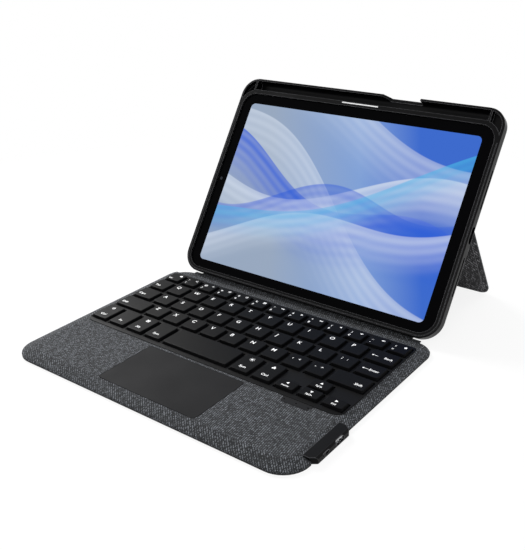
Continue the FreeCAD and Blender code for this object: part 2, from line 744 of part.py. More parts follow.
def trough():
    """Groove for the stylus, with a rounded floor."""
    r = TROUGH_R
    t0, t1, n0, n1 = TROUGH_T0, TROUGH_T1, TROUGH_FLOOR, SHELL_T + FIT
    half = math.sqrt(0.5)

    def p(t, n):
        return V(-TROUGH_HALF, t, n)

    edges = [Part.LineSegment(p(t0, n1), p(t0, n0 + r)).toShape(),
             Part.Arc(p(t0, n0 + r), p(t0 + r * (1 - half), n0 + r * (1 - half)), p(t0 + r, n0)).toShape(),
             Part.LineSegment(p(t0 + r, n0), p(t1 - r, n0)).toShape(),
             Part.Arc(p(t1 - r, n0), p(t1 - r * (1 - half), n0 + r * (1 - half)), p(t1, n0 + r)).toShape(),
             Part.LineSegment(p(t1, n0 + r), p(t1, n1)).toShape(),
             Part.LineSegment(p(t1, n1), p(t0, n1)).toShape()]
    return Part.Face(Part.Wire(edges)).extrude(V(2 * TROUGH_HALF, 0, 0))


def corner_pockets():
    """Hollows in the top corners, past the trough's end walls."""
    n0 = SHELL_T - POCKET_D
    inner = slab(shell_wire(SIDE_WALL), n0, SHELL_T + FIT)
    inner = inner.cut(tablet_solid(RIM_WALL + FIT, n0 - FIT, SHELL_T + 2 * FIT))
    x0 = TROUGH_HALF + END_WALL
    t0 = TABLET_T1 - TABLET_R
    pockets = []
    for side in (-1, 1):
        lo, hi = sorted((side * x0, side * SHELL_W / 2))
        pockets.append(inner.common(block(lo, hi, t0, SHELL_H, n0, SHELL_T + FIT)))
    return pockets


def side_slot(side, t, length, height):
    """Opening through a side wall."""
    x0, x1 = sorted((side * (TABLET_W / 2 - LIP), side * (SHELL_W / 2 + FIT)))
    r = height / 2 - FIT / 10
    wire = rounded(t - length / 2, t + length / 2, SIDE_N - height / 2, SIDE_N + height / 2, (r,) * 4)
    solid = Part.Face(wire).extrude(V(0, 0, x1 - x0))
    turn = FreeCAD.Rotation(V(0, 1, 0), V(0, 0, 1), V(1, 0, 0), "XYZ")
    solid.Placement = FreeCAD.Placement(V(x0, 0, 0), turn)
    return solid


def charging_slot(grow):
    """Inlay in the front edge of the wall between the tablet and the trough."""
    t = TABLET_T1 + FIT + RIM_WALL / 2
    return block(WINDOW_X0 - grow, WINDOW_X1 + grow, t - WINDOW_W / 2 - grow, t + WINDOW_W / 2 + grow,
                 SHELL_T - WINDOW_D - grow, SHELL_T)


def anchor_strip(grow):
    """Strip set into the underside of the frame, where the spine is fastened."""
    n0 = BACK_N + BACK_EDGE_R
    return block(-ANCHOR_HALF - grow, ANCHOR_HALF + grow, -grow, ANCHOR_T + grow,
                 n0 - grow, n0 + ANCHOR_W + grow)


def shell_bumper_frame():
    """Frame with a lip over the tablet, the stylus trough and the side openings."""
    frame = slab(shell_wire(0.0), BACK_N, SHELL_T)
    back = [edge for edge in frame.Edges if edge.BoundBox.ZMax < BACK_N + FIT]
    frame = frame.makeFillet(BACK_EDGE_R, back)
    front = [edge for edge in frame.Edges if edge.BoundBox.ZMin > SHELL_T - FIT]
    frame = frame.makeFillet(FRONT_EDGE_R, front)
    line = slab(shell_wire(RIM_LINE), SHELL_T - RIM_LINE_D, SHELL_T + FIT)
    line = line.cut(slab(shell_wire(RIM_LINE + RIM_LINE_W), BACK_N, SHELL_T + 2 * FIT))
    line = line.common(block(-SHELL_W, SHELL_W, 0, TABLET_T1 - TABLET_R, BACK_N, SHELL_T + FIT))
    notch = prism([V(NOTCH_X0, TROUGH_T1 - TOP_WALL / 2, SHELL_T + FIT),
                   V(NOTCH_X0 + NOTCH_SLOPE, TROUGH_T1 - TOP_WALL / 2, TROUGH_FLOOR),
                   V(NOTCH_X1, TROUGH_T1 - TOP_WALL / 2, TROUGH_FLOOR),
                   V(NOTCH_X1, TROUGH_T1 - TOP_WALL / 2, SHELL_T + FIT)], V(0, 2 * TOP_WALL, 0))
    cuts = [tablet_solid(FIT, BACK_N1, GLASS_N + FIT),
            tablet_solid(-LIP, GLASS_N, SHELL_T + FIT),
            back_panel_solid(-FIT, BACK_N - FIT, BACK_N1 + FIT),
            trough(), line, notch, charging_slot(FIT / 2), anchor_strip(FIT / 2)]
    cuts += corner_pockets()
    for side in (-1, 1):
        cuts += [side_slot(side, TABLET_MIDDLE_T + i * SPEAKER_STEP, SPEAKER_L, SPEAKER_H) for i in (-1, 1)]
    cuts.append(side_slot(1, TABLET_MIDDLE_T - SIDE_PORT_LOW, SIDE_PORT_L, SIDE_PORT_H))
    for cut in cuts:
        frame = frame.cut(cut)
    return frame


def shell_back_panel():
    """Flat panel behind the tablet, with the camera opening."""
    return back_panel_solid(0.0, BACK_N, BACK_N1).cut(rear_camera_hole(0.0, 0.0, SHELL_T))


def upper_board_solid(n0, n1):
    """Column over the fixed half of the back board."""
    t0 = STAND_HINGE_T + STAND_GAP
    wire = rounded(-BOARD_HALF, BOARD_HALF, t0, SHELL_H - BOARD_TOP_EDGE,
                   (0.0, 0.0, BOARD_TOP_R, BOARD_TOP_R))
    return slab(wire, n0, n1).cut(rear_camera_hole(0.0, n0 - FIT, n1 + FIT))


def leaf(x, side, grow=0.0):
    """Plate of a hinge leaf: side is 1 above the hinge line and -1 below."""
    t0, t1 = sorted((STAND_HINGE_T + side * (STAND_GAP - grow), STAND_HINGE_T + side * (LEAF_REACH + grow)))
    return block(x - LEAF_LEN / 2 - grow, x + LEAF_LEN / 2 + grow, t0, t1,
                 STAND_N - LEAF_T / 2 - grow, STAND_N + LEAF_T / 2 + grow)


def knuckle_spans(x, side):
    """Stretches of the barrel that belong to the leaf on one side."""
    pitch = LEAF_LEN / KNUCKLES
    first = 0 if side > 0 else 1
    starts = [x - LEAF_LEN / 2 + i * pitch for i in range(first, KNUCKLES, 2)]
    return [(s + KNUCKLE_GAP / 2, s + pitch - KNUCKLE_GAP / 2) for s in starts]


def hinge_leaves(side):
    """Two leaves with their knuckles, bored for the pin."""
    leaves = []
    for x in (-HINGE_X, HINGE_X):
        solid = leaf(x, side)
        axis = V(0, STAND_HINGE_T, STAND_N)
        for x0, x1 in knuckle_spans(x, side):
            barrel = Part.makeCylinder(KNUCKLE_R, x1 - x0, axis + V(x0, 0, 0), X_AXIS)
            t0, t1 = sorted((STAND_HINGE_T, STAND_HINGE_T + side * (STAND_GAP + FIT)))
            web = block(x0, x1, t0, t1, STAND_N - LEAF_T / 2, STAND_N + LEAF_T / 2)
            solid = solid.fuse(barrel).fuse(web)
        bore = Part.makeCylinder(PIN_R + PIN_CLEAR, 2 * LEAF_LEN, axis + V(x - LEAF_LEN, 0, 0), X_AXIS)
        leaves.append(solid.cut(bore).removeSplitter())
    return group(leaves)


def hinge_pins():
    """Pins through both hinges."""
    return group([Part.makeCylinder(PIN_R, LEAF_LEN, V(x - LEAF_LEN / 2, STAND_HINGE_T, STAND_N), X_AXIS)
                  for x in (-HINGE_X, HINGE_X)])


def shell_upper_board():
    """Fixed half of the stiff board on the back."""
    board = upper_board_solid(SKIN, BOARD_STACK)
    for x in (-HINGE_X, HINGE_X):
        board = board.cut(leaf(x, 1, LEAF_FIT))
    return board


def shell_upper_fabric():
    """Fabric over the fixed half of the back."""
    return upper_board_solid(0.0, SKIN)


def stand_solid(inset, n0, n1):
    """Column over the kickstand, folded flat."""
    half = BOARD_HALF - inset
    r = STAND_R - inset
    t0 = STAND_HINGE_T - STAND_LEN + inset
    wire = rounded(-half, half, t0, STAND_HINGE_T - STAND_GAP, (r, r, 0.0, 0.0))
    return slab(wire, n0, n1)


def kickstand_board():
    """Stiff board of the kickstand."""
    board = stand_solid(STAND_EDGE, SKIN, BOARD_STACK - LINING)
    for x in (-HINGE_X, HINGE_X):
        board = board.cut(leaf(x, -1, LEAF_FIT))
    return board


def kickstand_fabric():
    """Outer fabric, turned in round the edge of the board."""
    return stand_solid(0.0, 0.0, BOARD_STACK - LINING).cut(stand_solid(STAND_EDGE, SKIN, BOARD_STACK))


def kickstand_lining():
    """Fabric on the inner face."""
    return stand_solid(0.0, BOARD_STACK - LINING, BOARD_STACK - FIT)


def display_solid(grow, n0, n1):
    """Column over the display."""
    half = TABLET_W / 2 - BEZEL_SIDE + grow
    return plate(-half, half, TABLET_T0 + BEZEL_LOW - grow, TABLET_T1 - BEZEL_HIGH + grow, DISPLAY_R, n0, n1)


def front_camera(grow, n0, n1):
    """Column over the front camera."""
    foot = V(CAMERA_EDGE - TABLET_W / 2, TABLET_MIDDLE_T, n0)
    return Part.makeCylinder(CAMERA_R + grow, n1 - n0, foot, Z_AXIS)


def tablet_housing():
    """Metal tray of the tablet, with a rounded rear edge."""
    body = tablet_solid(0.0, TABLET_N0, GLASS_N - GLASS_T)
    rear = [edge for edge in body.Edges if edge.BoundBox.ZMax < TABLET_N0 + FIT]
    return body.makeFillet(GLASS_T, rear).cut(tablet_core(FIT))


def tablet_core(grow=0.0):
    """Cells and boards that fill the housing."""
    return tablet_solid(-HOUSING_WALL - FIT + grow, TABLET_N0 + HOUSING_WALL + FIT - grow, GLASS_N - GLASS_T)


def tablet_cover_glass():
    """Black glass with a window for the display and the front camera."""
    glass = tablet_solid(-GLASS_EDGE, GLASS_N - GLASS_T, GLASS_N)
    glass = glass.cut(display_solid(0.0, GLASS_N - GLASS_T - FIT, GLASS_N + FIT))
    return glass.cut(front_camera(0.0, GLASS_N - GLASS_T - FIT, GLASS_N + FIT))


def tablet_display():
    """Lit panel in the window of the glass."""
    return display_solid(-FIT / 10, GLASS_N - GLASS_T, GLASS_N)


def tablet_front_camera():
    """Lens beside the display."""
    return front_camera(-FIT / 10, GLASS_N - GLASS_T, GLASS_N - FIT)


def tablet_rear_camera():
    """Camera plate that shows through the back of the case, with two lenses."""
    bump = rear_camera_hole(-REAR_CAM_RIM, BACK_N, TABLET_N0)
    offset = REAR_CAM_W / 2 - REAR_CAM_RIM - REAR_CAM_LENS_R
    for step in (-1, 1):
        foot = V(REAR_CAM_X + step * offset, REAR_CAM_T + step * offset, BACK_N - SKIN)
        ring = Part.makeCylinder(REAR_CAM_LENS_R - REAR_CAM_RIM, SKIN + FIT, foot, Z_AXIS)
        bump = bump.fuse(ring)
    return bump.removeSplitter()


BASE_PIECES = {
    "base_bottom_cover": base_bottom_cover(),
    "base_core_frame": base_core_frame(),
    "base_top_cover": base_top_cover(),
    "key_deck": key_deck(),
    "key_support_plate": stack_sheet(STACK_Z, SUPPORT_T),
    "backlight_sheet": stack_sheet(STACK_Z + SUPPORT_T, LIGHT_T),
    "membrane_sheet": stack_sheet(STACK_Z + SUPPORT_T + LIGHT_T, MEMBRANE_T),
    "key_domes": key_domes(),
    "trackpad_plate": trackpad_plate(),
    "trackpad_board": trackpad_board(),
    "trackpad_switch": trackpad_switch(),
    "battery_cell": palm_box(CELL_X, CELL_W, CELL_T),
    "main_board": palm_box(BOARD_X, BOARD_W, BOARD_T),
    "base_magnets": group(magnet_boxes()),
    "port_housing": port_housing(),
    "usb_c_socket": usb_c_socket(),
    "power_switch_knob": power_switch_knob(),
    "indicator_bar": indicator_bar(),
    "indicator_lights": group(lamp_discs()),
    "spine_cover": spine_cover(),
    "spine_stiffener": spine_stiffener(),
}
for name, keys in KEYS.items():
    BASE_PIECES[name] = group([keycap(*key) for key in keys])

SHELL_PIECES = {
    "shell_bumper_frame": shell_bumper_frame(),
    "shell_back_panel": shell_back_panel(),
    "shell_upper_board": shell_upper_board(),
    "shell_upper_fabric": shell_upper_fabric(),
    "spine_anchor_strip": anchor_strip(0.0),
    "hinge_fixed_leaves": hinge_leaves(1),
    "hinge_pins": hinge_pins(),
    "charging_window": charging_slot(0.0),
    "tablet_housing": tablet_housing(),
    "tablet_core": tablet_core(),
    "tablet_cover_glass": tablet_cover_glass(),
    "tablet_display": tablet_display(),
    "tablet_front_camera": tablet_front_camera(),
    "tablet_rear_camera": tablet_rear_camera(),
}

STAND_PIECES = {
    "kickstand_board": kickstand_board(),
    "kickstand_fabric": kickstand_fabric(),
    "kickstand_lining": kickstand_lining(),
    "hinge_moving_leaves": hinge_leaves(-1),
}

os.makedirs("parts", exist_ok=True)
for name, shape in BASE_PIECES.items():
    shape.exportStep(f"parts/{name}.step")
for name, shape in SHELL_PIECES.items():
    shape.Placement = SHELL_PLACE.multiply(shape.Placement)
    shape.exportStep(f"parts/{name}.step")
for name, shape in STAND_PIECES.items():
    shape.rotate(V(0, STAND_HINGE_T, STAND_N), X_AXIS, STAND_OPEN)
    shape.Placement = SHELL_PLACE.multiply(shape.Placement)
    shape.exportStep(f"parts/{name}.step")

print(f"kickstand opens {STAND_OPEN:.3f} degrees")
print(f"spine fold at y {FOLD_Y:.3f} z {FOLD_Z:.3f}, shell hinge at y {SPINE_Y1:.3f} z {SPINE_HINGE_Z:.3f}")
print(f"kickstand hinge at y {stand_pivot.y:.3f} z {stand_pivot.z:.3f}")
print(f"trackpad hinge at y {PAD_REAR_Y:.3f} z {PAD_TOP - PAD_T:.3f}")
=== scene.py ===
"""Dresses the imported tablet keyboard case: woven covers, keycaps, legends, lit display and studio."""

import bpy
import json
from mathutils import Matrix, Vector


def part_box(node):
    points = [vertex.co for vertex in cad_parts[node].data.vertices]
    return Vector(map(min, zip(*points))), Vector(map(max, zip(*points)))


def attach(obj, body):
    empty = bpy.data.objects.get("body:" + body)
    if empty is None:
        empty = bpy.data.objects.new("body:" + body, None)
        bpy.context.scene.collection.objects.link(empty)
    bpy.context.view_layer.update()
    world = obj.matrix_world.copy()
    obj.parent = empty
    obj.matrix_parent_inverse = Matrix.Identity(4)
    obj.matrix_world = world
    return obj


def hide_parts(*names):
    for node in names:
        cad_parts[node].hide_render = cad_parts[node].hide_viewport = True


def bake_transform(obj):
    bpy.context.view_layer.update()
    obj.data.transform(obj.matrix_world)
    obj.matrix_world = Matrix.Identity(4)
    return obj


bl_info = {
    "name": "Tablet keyboard case",
    "version": (1, 0, 0),
    "blender": (4, 5, 0),
    "location": "View3D > Sidebar > Keyboard case",
    "description": "Builds the covers, keycaps and finishes of a folding keyboard case",
    "category": "Object",
}

import json
import math

import bmesh
import bpy
from bpy.props import FloatProperty, FloatVectorProperty, PointerProperty, StringProperty
from mathutils import Matrix, Vector

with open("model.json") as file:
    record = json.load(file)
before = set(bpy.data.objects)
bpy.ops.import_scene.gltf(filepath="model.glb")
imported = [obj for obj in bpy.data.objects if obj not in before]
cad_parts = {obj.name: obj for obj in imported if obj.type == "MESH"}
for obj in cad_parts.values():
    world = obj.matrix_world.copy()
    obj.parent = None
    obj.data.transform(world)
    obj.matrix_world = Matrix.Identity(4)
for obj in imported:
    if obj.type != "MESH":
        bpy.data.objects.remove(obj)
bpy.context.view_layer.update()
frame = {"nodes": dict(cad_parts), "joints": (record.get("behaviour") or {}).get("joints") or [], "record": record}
MM = 0.001
JOINTS = {joint["name"]: joint for joint in frame["joints"]}
BODIES = frame["record"]["behaviour"]["bodies"]

# Sizes in millimetres. The shell's are in its own flat frame, which the boxes of its tilted nodes don't give.
HINGE_BELOW_SHELL = 0.85
HINGE_DEPTH = 5.0
BACK_HALF = 119.0
BACK_LOW = 93.3
BACK_TOP = 179.6
BACK_CORNER = 13.0
SHARP_CORNER = 0.3
SKIN = 0.4
CAMERA_REACH = 12.0
CAMERA_CORNER = 6.0
LENS_SEAT = 2.2
STAND_HINGE_T = 91.7
STAND_HINGE_N = 1.3
STAND_GAP = 1.6
STAND_REACH = 90.7
STAND_CORNER = 9.0
STAND_INNER = 1.9
STAND_EDGE = 0.8
LINING = 0.2
SHELL_FOLD_HALF = 103.0
SPINE_INSET = 15.0
DECK_CORNERS = (7.1, 7.1, 3.6, 3.6)
LAMP_SLANT = 2.0
TRACKPAD_CORNER = 2.9
SEAT_GAP = 0.1
STRIP_CLOTH = 0.2
STRIP_COLUMNS = 24
# Width of the painted highlight along edges
EDGE_HIGHLIGHT_WIDTH = 0.8
LEAN = 38.0
LEGEND_LIFT = 0.02
LEGEND_WEIGHT = 0.03
DIGIT = 3.4
SHIFTED_SIGN = 3.0
SECOND_SIGN = 3.2
ESCAPE_WORD = 2.8
ARROW_WORD = 2.3
ARROW_HEAD = 1.35
ROW_SIGN = 1.25
MODIFIER_SIGN = 1.5
FLOOR_DROP = 0.2
GLASS_SHINE = 0.02


# Sizes and colours that a user would change

def length(name, description, default):
    """Length in millimetres."""
    return FloatProperty(name=name, description=description, default=default, min=0.0, precision=3)


def tint(name, description, default):
    """Colour as an sRGB hex value."""
    return StringProperty(name=name, description=description, default=default)


class FabricLook(bpy.types.PropertyGroup):
    """Woven cover of the base, the spine and the back."""
    thread: length("Thread", "Distance between threads, drawn coarse enough to show, in mm", 0.5)
    relief: length("Relief", "Height of a thread over its neighbours, in mm", 0.12)
    dark: tint("Dark yarn", "Colour of the darkest threads", "#08090a")
    middle: tint("Middle yarn", "Colour of most threads", "#1d1f22")
    light: tint("Light yarn", "Colour of the palest flecks", "#82868d")
    seam: length("Seam", "Distance of the kickstand's seam from its edge, in mm", 4.3)
    stitch: length("Stitch", "Length of one stitch, in mm", 2.8)
    lining: tint("Lining", "Colour of the kickstand's inner face", "#252527")
    underside: tint("Underside", "Colour of the fabric under the base", "#151517")


class BaseLook(bpy.types.PropertyGroup):
    """Shape of the base's cover."""
    front_radius: length("Front corners", "Corner radius at the typist's side, in mm", 19.0)
    rear_radius: length("Rear corners", "Corner radius that runs on into the spine, in mm", 17.0)
    corner_run: length("Corner run", "How far the rear corners reach past the base, in mm", 9.0)
    border: length("Border", "Width of the sloped border, in mm", 9.0)
    rear_border: length("Rear border", "Width of the border at the fold, in mm", 5.0)
    edge_height: length("Edge height", "Height of the upright edge, in mm", 2.4)
    cloth: length("Cloth", "Thickness of the cover, in mm", 0.6)
    binding: length("Binding", "Height to which the backing wraps the edge, in mm", 1.1)
    trackpad_gap: length("Trackpad gap", "Gap round the trackpad, in mm", 0.4)


class KeyLook(bpy.types.PropertyGroup):
    """Keycaps and their legends."""
    taper: length("Taper", "How much wider a cap is at its foot, in mm", 0.55)
    corner: length("Corner", "Corner radius of a cap, in mm", 1.3)
    round_over: length("Round-over", "Rounding of the top edge, in mm", 0.45)
    wall: length("Wall", "Thickness of a cap's sides and top, in mm", 1.0)
    letter: length("Letter", "Size of the letters, in mm", 5.0)
    word: length("Word", "Size of the words, in mm", 3.4)
    cap: tint("Cap", "Colour of the caps", "#0b0b0c")
    print: tint("Legend", "Colour of the printed legends", "#f2f2f2")
    deck: tint("Deck", "Colour of the plate round the keys", "#060607")
    trackpad: tint("Trackpad", "Colour of the trackpad", "#222223")


class ShellLook(bpy.types.PropertyGroup):
    """Frame round the tablet."""
    tilt: FloatProperty(name="Tilt", description="Lean of the shell from upright", subtype="ANGLE",
                        default=math.radians(33.8))
    frame: tint("Frame", "Colour of the moulded frame", "#050506")
    # Painted highlight: this colour draws the frame's edges lighter in place of the lamps' highlights on them
    painted_edge_highlight: tint("Rubbed edges", "Colour of the frame's edges where handling has polished them", "#747477")
    bar: tint("Port bar", "Colour of the port bar", "#0c0c0d")
    glass: tint("Bezel", "Colour of the glass round the display", "#020203")
    metal: tint("Tablet", "Colour of the tablet's metal", "#2b2d31")
    camera_x: FloatProperty(name="Camera x", description="Middle of the rear camera across the shell, in mm",
                            default=-96.0)
    camera_t: FloatProperty(name="Camera height", description="Middle of the rear camera up the shell, in mm",
                            default=146.0)
    lens_step: length("Lens step", "Half the distance between the two rear lenses, each way, in mm", 5.5)


class DisplayLook(bpy.types.PropertyGroup):
    """Soft bands shown on the display."""
    pale: tint("Pale", "Colour of the pale side", "#9fb0c8")
    sky: tint("Sky", "Colour of the middle", "#86a8e0")
    deep: tint("Deep", "Colour of the far side", "#3f6fd6")
    blue: tint("Blue", "Colour of the deep bands", "#2d62e0")
    cyan: tint("Cyan", "Colour of the narrow band", "#4fbdf0")
    white: tint("White", "Colour of the bright crests", "#dfeafa")
    glow: FloatProperty(name="Glow", description="Brightness of the lit panel", default=0.9, min=0.0)


class StageLook(bpy.types.PropertyGroup):
    """Camera, lamps and floor."""
    place: FloatVectorProperty(name="Camera", description="Where the camera stands", subtype="TRANSLATION",
                               unit="LENGTH", default=(0.33181, -0.38045, 0.28973))
    azimuth: FloatProperty(name="Azimuth", description="Turn of the camera", subtype="ANGLE",
                           default=math.radians(37.46))
    elevation: FloatProperty(name="Elevation", description="Height of the camera", subtype="ANGLE",
                             default=math.radians(24.265))
    roll: FloatProperty(name="Roll", description="Lean of the camera", subtype="ANGLE",
                        default=math.radians(-1.072))
    lens: FloatProperty(name="Lens", description="Focal length in mm", default=52.28)
    floor: tint("Floor", "Colour of the floor", "#f4f4f4")


GROUPS = {"case_fabric": FabricLook, "case_base": BaseLook, "case_keys": KeyLook,
          "case_shell": ShellLook, "case_display": DisplayLook, "case_stage": StageLook}


# Materials

def linear(code):
    """Linear colour of an sRGB hex value."""
    parts = [int(code[i:i + 2], 16) / 255 for i in (1, 3, 5)]
    return tuple(c / 12.92 if c <= 0.04045 else ((c + 0.055) / 1.055) ** 2.4 for c in parts) + (1.0,)


def add(tree, kind, values=None, **settings):
    """One node and its settings; sockets among its values get links, and stops are a ramp's (place, hex)."""
    node = tree.nodes.new(kind)
    for key, value in settings.items():
        if key == "stops":
            for spare in value[2:]:
                node.color_ramp.elements.new(spare[0])
            for element, (place, code) in zip(node.color_ramp.elements, value):
                element.position, element.color = place, linear(code)
        else:
            setattr(node, key, value)
    for key, value in (values or {}).items():
        if isinstance(value, bpy.types.NodeSocket):
            tree.links.new(value, node.inputs[key])
        else:
            node.inputs[key].default_value = value
    return node


def start(name):
    """New material: its tree and its surface shader."""
    material = bpy.data.materials.new(name)
    material.use_nodes = True
    return material, material.node_tree, material.node_tree.nodes["Principled BSDF"]


def finish_surface(tree, shader, values, height=None, depth=0.0):
    """Sets the shader's sockets and hangs a bump on it."""
    for key, value in values.items():
        if isinstance(value, bpy.types.NodeSocket):
            tree.links.new(value, shader.inputs[key])
        else:
            shader.inputs[key].default_value = value
    if height is not None:
        bump = add(tree, "ShaderNodeBump", {"Height": height, "Distance": depth * MM, "Strength": 1.0})
        tree.links.new(bump.outputs[0], shader.inputs["Normal"])


def woven_polyester(name, dark, middle, light, coarse=1.0):
    """Woven polyester twill: yarns of two greys with pale flecks, with painted shade where each thread dips beside
    its neighbours, matt, with a faint sheen.
    """
    look = bpy.context.scene.case_fabric
    material, tree, shader = start(name)
    maps = add(tree, "ShaderNodeUVMap", uv_map="weave")
    pitch = coarse * look.thread * MM
    scaled = add(tree, "ShaderNodeVectorMath", {0: maps.outputs[0], "Scale": 1 / pitch}, operation="SCALE")
    cell = add(tree, "ShaderNodeVectorMath", {0: scaled.outputs[0]}, operation="FLOOR")
    inside = add(tree, "ShaderNodeVectorMath", {0: scaled.outputs[0]}, operation="FRACTION")
    ids = add(tree, "ShaderNodeSeparateXYZ", {0: cell.outputs[0]})
    way = add(tree, "ShaderNodeSeparateXYZ", {0: inside.outputs[0]})
    step = add(tree, "ShaderNodeMath", {0: ids.outputs[0], 1: ids.outputs[1]}, operation="ADD")
    repeat, last_over = 4.0, 1.5
    turn = add(tree, "ShaderNodeMath", {0: step.outputs[0], 1: repeat}, operation="FLOORED_MODULO")
    over = add(tree, "ShaderNodeMath", {0: turn.outputs[0], 1: last_over}, operation="LESS_THAN")
    rounds = []
    for axis in (0, 1):
        half = add(tree, "ShaderNodeMath", {0: way.outputs[axis], 1: math.pi}, operation="MULTIPLY")
        rounds.append(add(tree, "ShaderNodeMath", {0: half.outputs[0]}, operation="SINE").outputs[0])
    height = add(tree, "ShaderNodeMix", {0: over.outputs[0], 2: rounds[1], 3: rounds[0]}, data_type="FLOAT")
    yarns = []
    flecks_per_thread = 0.34
    for axis, other in ((0, 1), (1, 0)):
        run = add(tree, "ShaderNodeMath", {0: ids.outputs[other], 1: flecks_per_thread}, operation="MULTIPLY")
        whole = add(tree, "ShaderNodeMath", {0: run.outputs[0]}, operation="FLOOR")
        place = add(tree, "ShaderNodeCombineXYZ",
                    {0: ids.outputs[axis], 1: whole.outputs[0], 2: float(axis)})
        yarns.append(add(tree, "ShaderNodeTexWhiteNoise", {0: place.outputs[0]}).outputs[0])
    fleck = add(tree, "ShaderNodeMix", {0: over.outputs[0], 2: yarns[1], 3: yarns[0]}, data_type="FLOAT")
    # Painted shade: each thread is drawn lighter on its crown and darker where it dips beside its neighbours
    crown, sunk, lift, spread = 0.25, -0.08, 0.42, 0.45
    painted_thread_shade = add(tree, "ShaderNodeMath", {0: height.outputs[0], 1: crown, 2: sunk}, operation="MULTIPLY_ADD")
    yarn = add(tree, "ShaderNodeMath", {0: over.outputs[0], 1: lift, 2: painted_thread_shade.outputs[0]},
               operation="MULTIPLY_ADD")
    tone = add(tree, "ShaderNodeMath", {0: fleck.outputs[0], 1: spread, 2: yarn.outputs[0]},
               operation="MULTIPLY_ADD", use_clamp=True)
    colour = add(tree, "ShaderNodeValToRGB", {0: tone.outputs[0]},
                 stops=[(0.08, dark), (0.5, middle), (0.7, middle), (1.0, light)])
    finish_surface(tree, shader, {"Base Color": colour.outputs[0], "Roughness": 0.88, "Sheen Weight": 0.05,
                                  "Specular IOR Level": 0.25}, height.outputs[0], look.relief)
    return material


def moulded_plastic(name, code, roughness, grit, depth, specular=0.5, painted_edge_highlight=None):
    """Moulded plastic: a fine spark-eroded grain breaks up the shine, and a painted highlight can draw the edges
    lighter.
    """
    material, tree, shader = start(name)
    place = add(tree, "ShaderNodeTexCoord")
    grain = add(tree, "ShaderNodeTexNoise", {"Vector": place.outputs["Object"], "Scale": 1 / (grit * MM),
                                             "Detail": 2.0})
    patch_size, unevenness, darker = 30.0, 0.05, 0.85
    patch = add(tree, "ShaderNodeTexNoise", {"Vector": place.outputs["Object"],
                                             "Scale": 1 / (patch_size * MM), "Detail": 3.0})
    rough = add(tree, "ShaderNodeMapRange", {0: patch.outputs[0], 1: 0.3, 2: 0.7,
                                             3: roughness - unevenness, 4: roughness + unevenness})
    base = linear(code)
    deep = tuple(c * darker for c in base[:3]) + (1.0,)
    colour = add(tree, "ShaderNodeMix", {0: patch.outputs[0], 6: base, 7: deep}, data_type="RGBA")
    # Painted highlight: edges that the bevel finds are drawn lighter, standing in for the lamps' highlights on
    # them
    if painted_edge_highlight:
        rounding = add(tree, "ShaderNodeBevel", {0: EDGE_HIGHLIGHT_WIDTH * MM}, samples=8)
        flat = add(tree, "ShaderNodeNewGeometry")
        turned = add(tree, "ShaderNodeVectorMath", {0: rounding.outputs[0], 1: flat.outputs["Normal"]},
                     operation="DOT_PRODUCT")
        highlight_start, highlight_full = 0.95, 0.6
        edge_highlight_share = add(tree, "ShaderNodeMapRange",
                   {0: turned.outputs["Value"], 1: highlight_start, 2: highlight_full, 3: 0.0, 4: 1.0})
        colour = add(tree, "ShaderNodeMix", {0: edge_highlight_share.outputs[0], 6: colour.outputs[2], 7: linear(painted_edge_highlight)},
                     data_type="RGBA")
    values = {"Base Color": colour.outputs[2], "Roughness": rough.outputs[0], "IOR": 1.5,
              "Specular IOR Level": specular}
    finish_surface(tree, shader, values, grain.outputs[0], depth)
    return material


def metal(name, code, roughness, streak):
    """Stamped or anodised metal with fine drawing lines along X."""
    material, tree, shader = start(name)
    place = add(tree, "ShaderNodeTexCoord")
    line_length, unevenness, depth = 25.0, 0.08, 0.003
    across = 1 / (streak * MM)
    lines = add(tree, "ShaderNodeMapping",
                {0: place.outputs["Object"], 3: (1 / (line_length * MM), across, across)})
    noise = add(tree, "ShaderNodeTexNoise", {"Vector": lines.outputs[0], "Scale": 1.0, "Detail": 2.0})
    rough = add(tree, "ShaderNodeMapRange", {0: noise.outputs[0], 3: roughness - unevenness,
                                             4: roughness + unevenness})
    values = {"Base Color": linear(code), "Metallic": 1.0, "Roughness": rough.outputs[0]}
    finish_surface(tree, shader, values, noise.outputs[0], depth)
    return material


def polished_glass(name, code):
    """Strengthened glass printed black on its inside: deep black under a clear polished face."""
    material, tree, shader = start(name)
    place = add(tree, "ShaderNodeTexCoord")
    smear_size = 25.0
    smear = add(tree, "ShaderNodeTexNoise", {"Vector": place.outputs["Object"],
                                             "Scale": 1 / (smear_size * MM), "Detail": 4.0})
    rough = add(tree, "ShaderNodeMapRange", {0: smear.outputs[0], 1: 0.35, 2: 0.75, 3: 0.05, 4: 0.14})
    finish_surface(tree, shader, {"Base Color": linear(code), "Roughness": rough.outputs[0], "IOR": 1.5,
                                  "Specular IOR Level": GLASS_SHINE})
    return material


def printed_ink(name, code):
    """Laser-marked legend with a slight painted glow: it gives off light of its own, which no lamp in the scene
    sends through it.
    """
    material, tree, shader = start(name)
    place = add(tree, "ShaderNodeTexCoord")
    speck_size = 0.4
    speck = add(tree, "ShaderNodeTexNoise", {"Vector": place.outputs["Object"],
                                             "Scale": 1 / (speck_size * MM)})
    colour = add(tree, "ShaderNodeValToRGB", {0: speck.outputs[0]}, stops=[(0.0, "#c9c9c9"), (0.6, code)])
    # Painted glow: the ink gives off a little light of its own
    finish_surface(tree, shader, {"Base Color": colour.outputs[0], "Roughness": 0.6,
                                  "Emission Color": linear(code), "Emission Strength": 0.25})
    return material


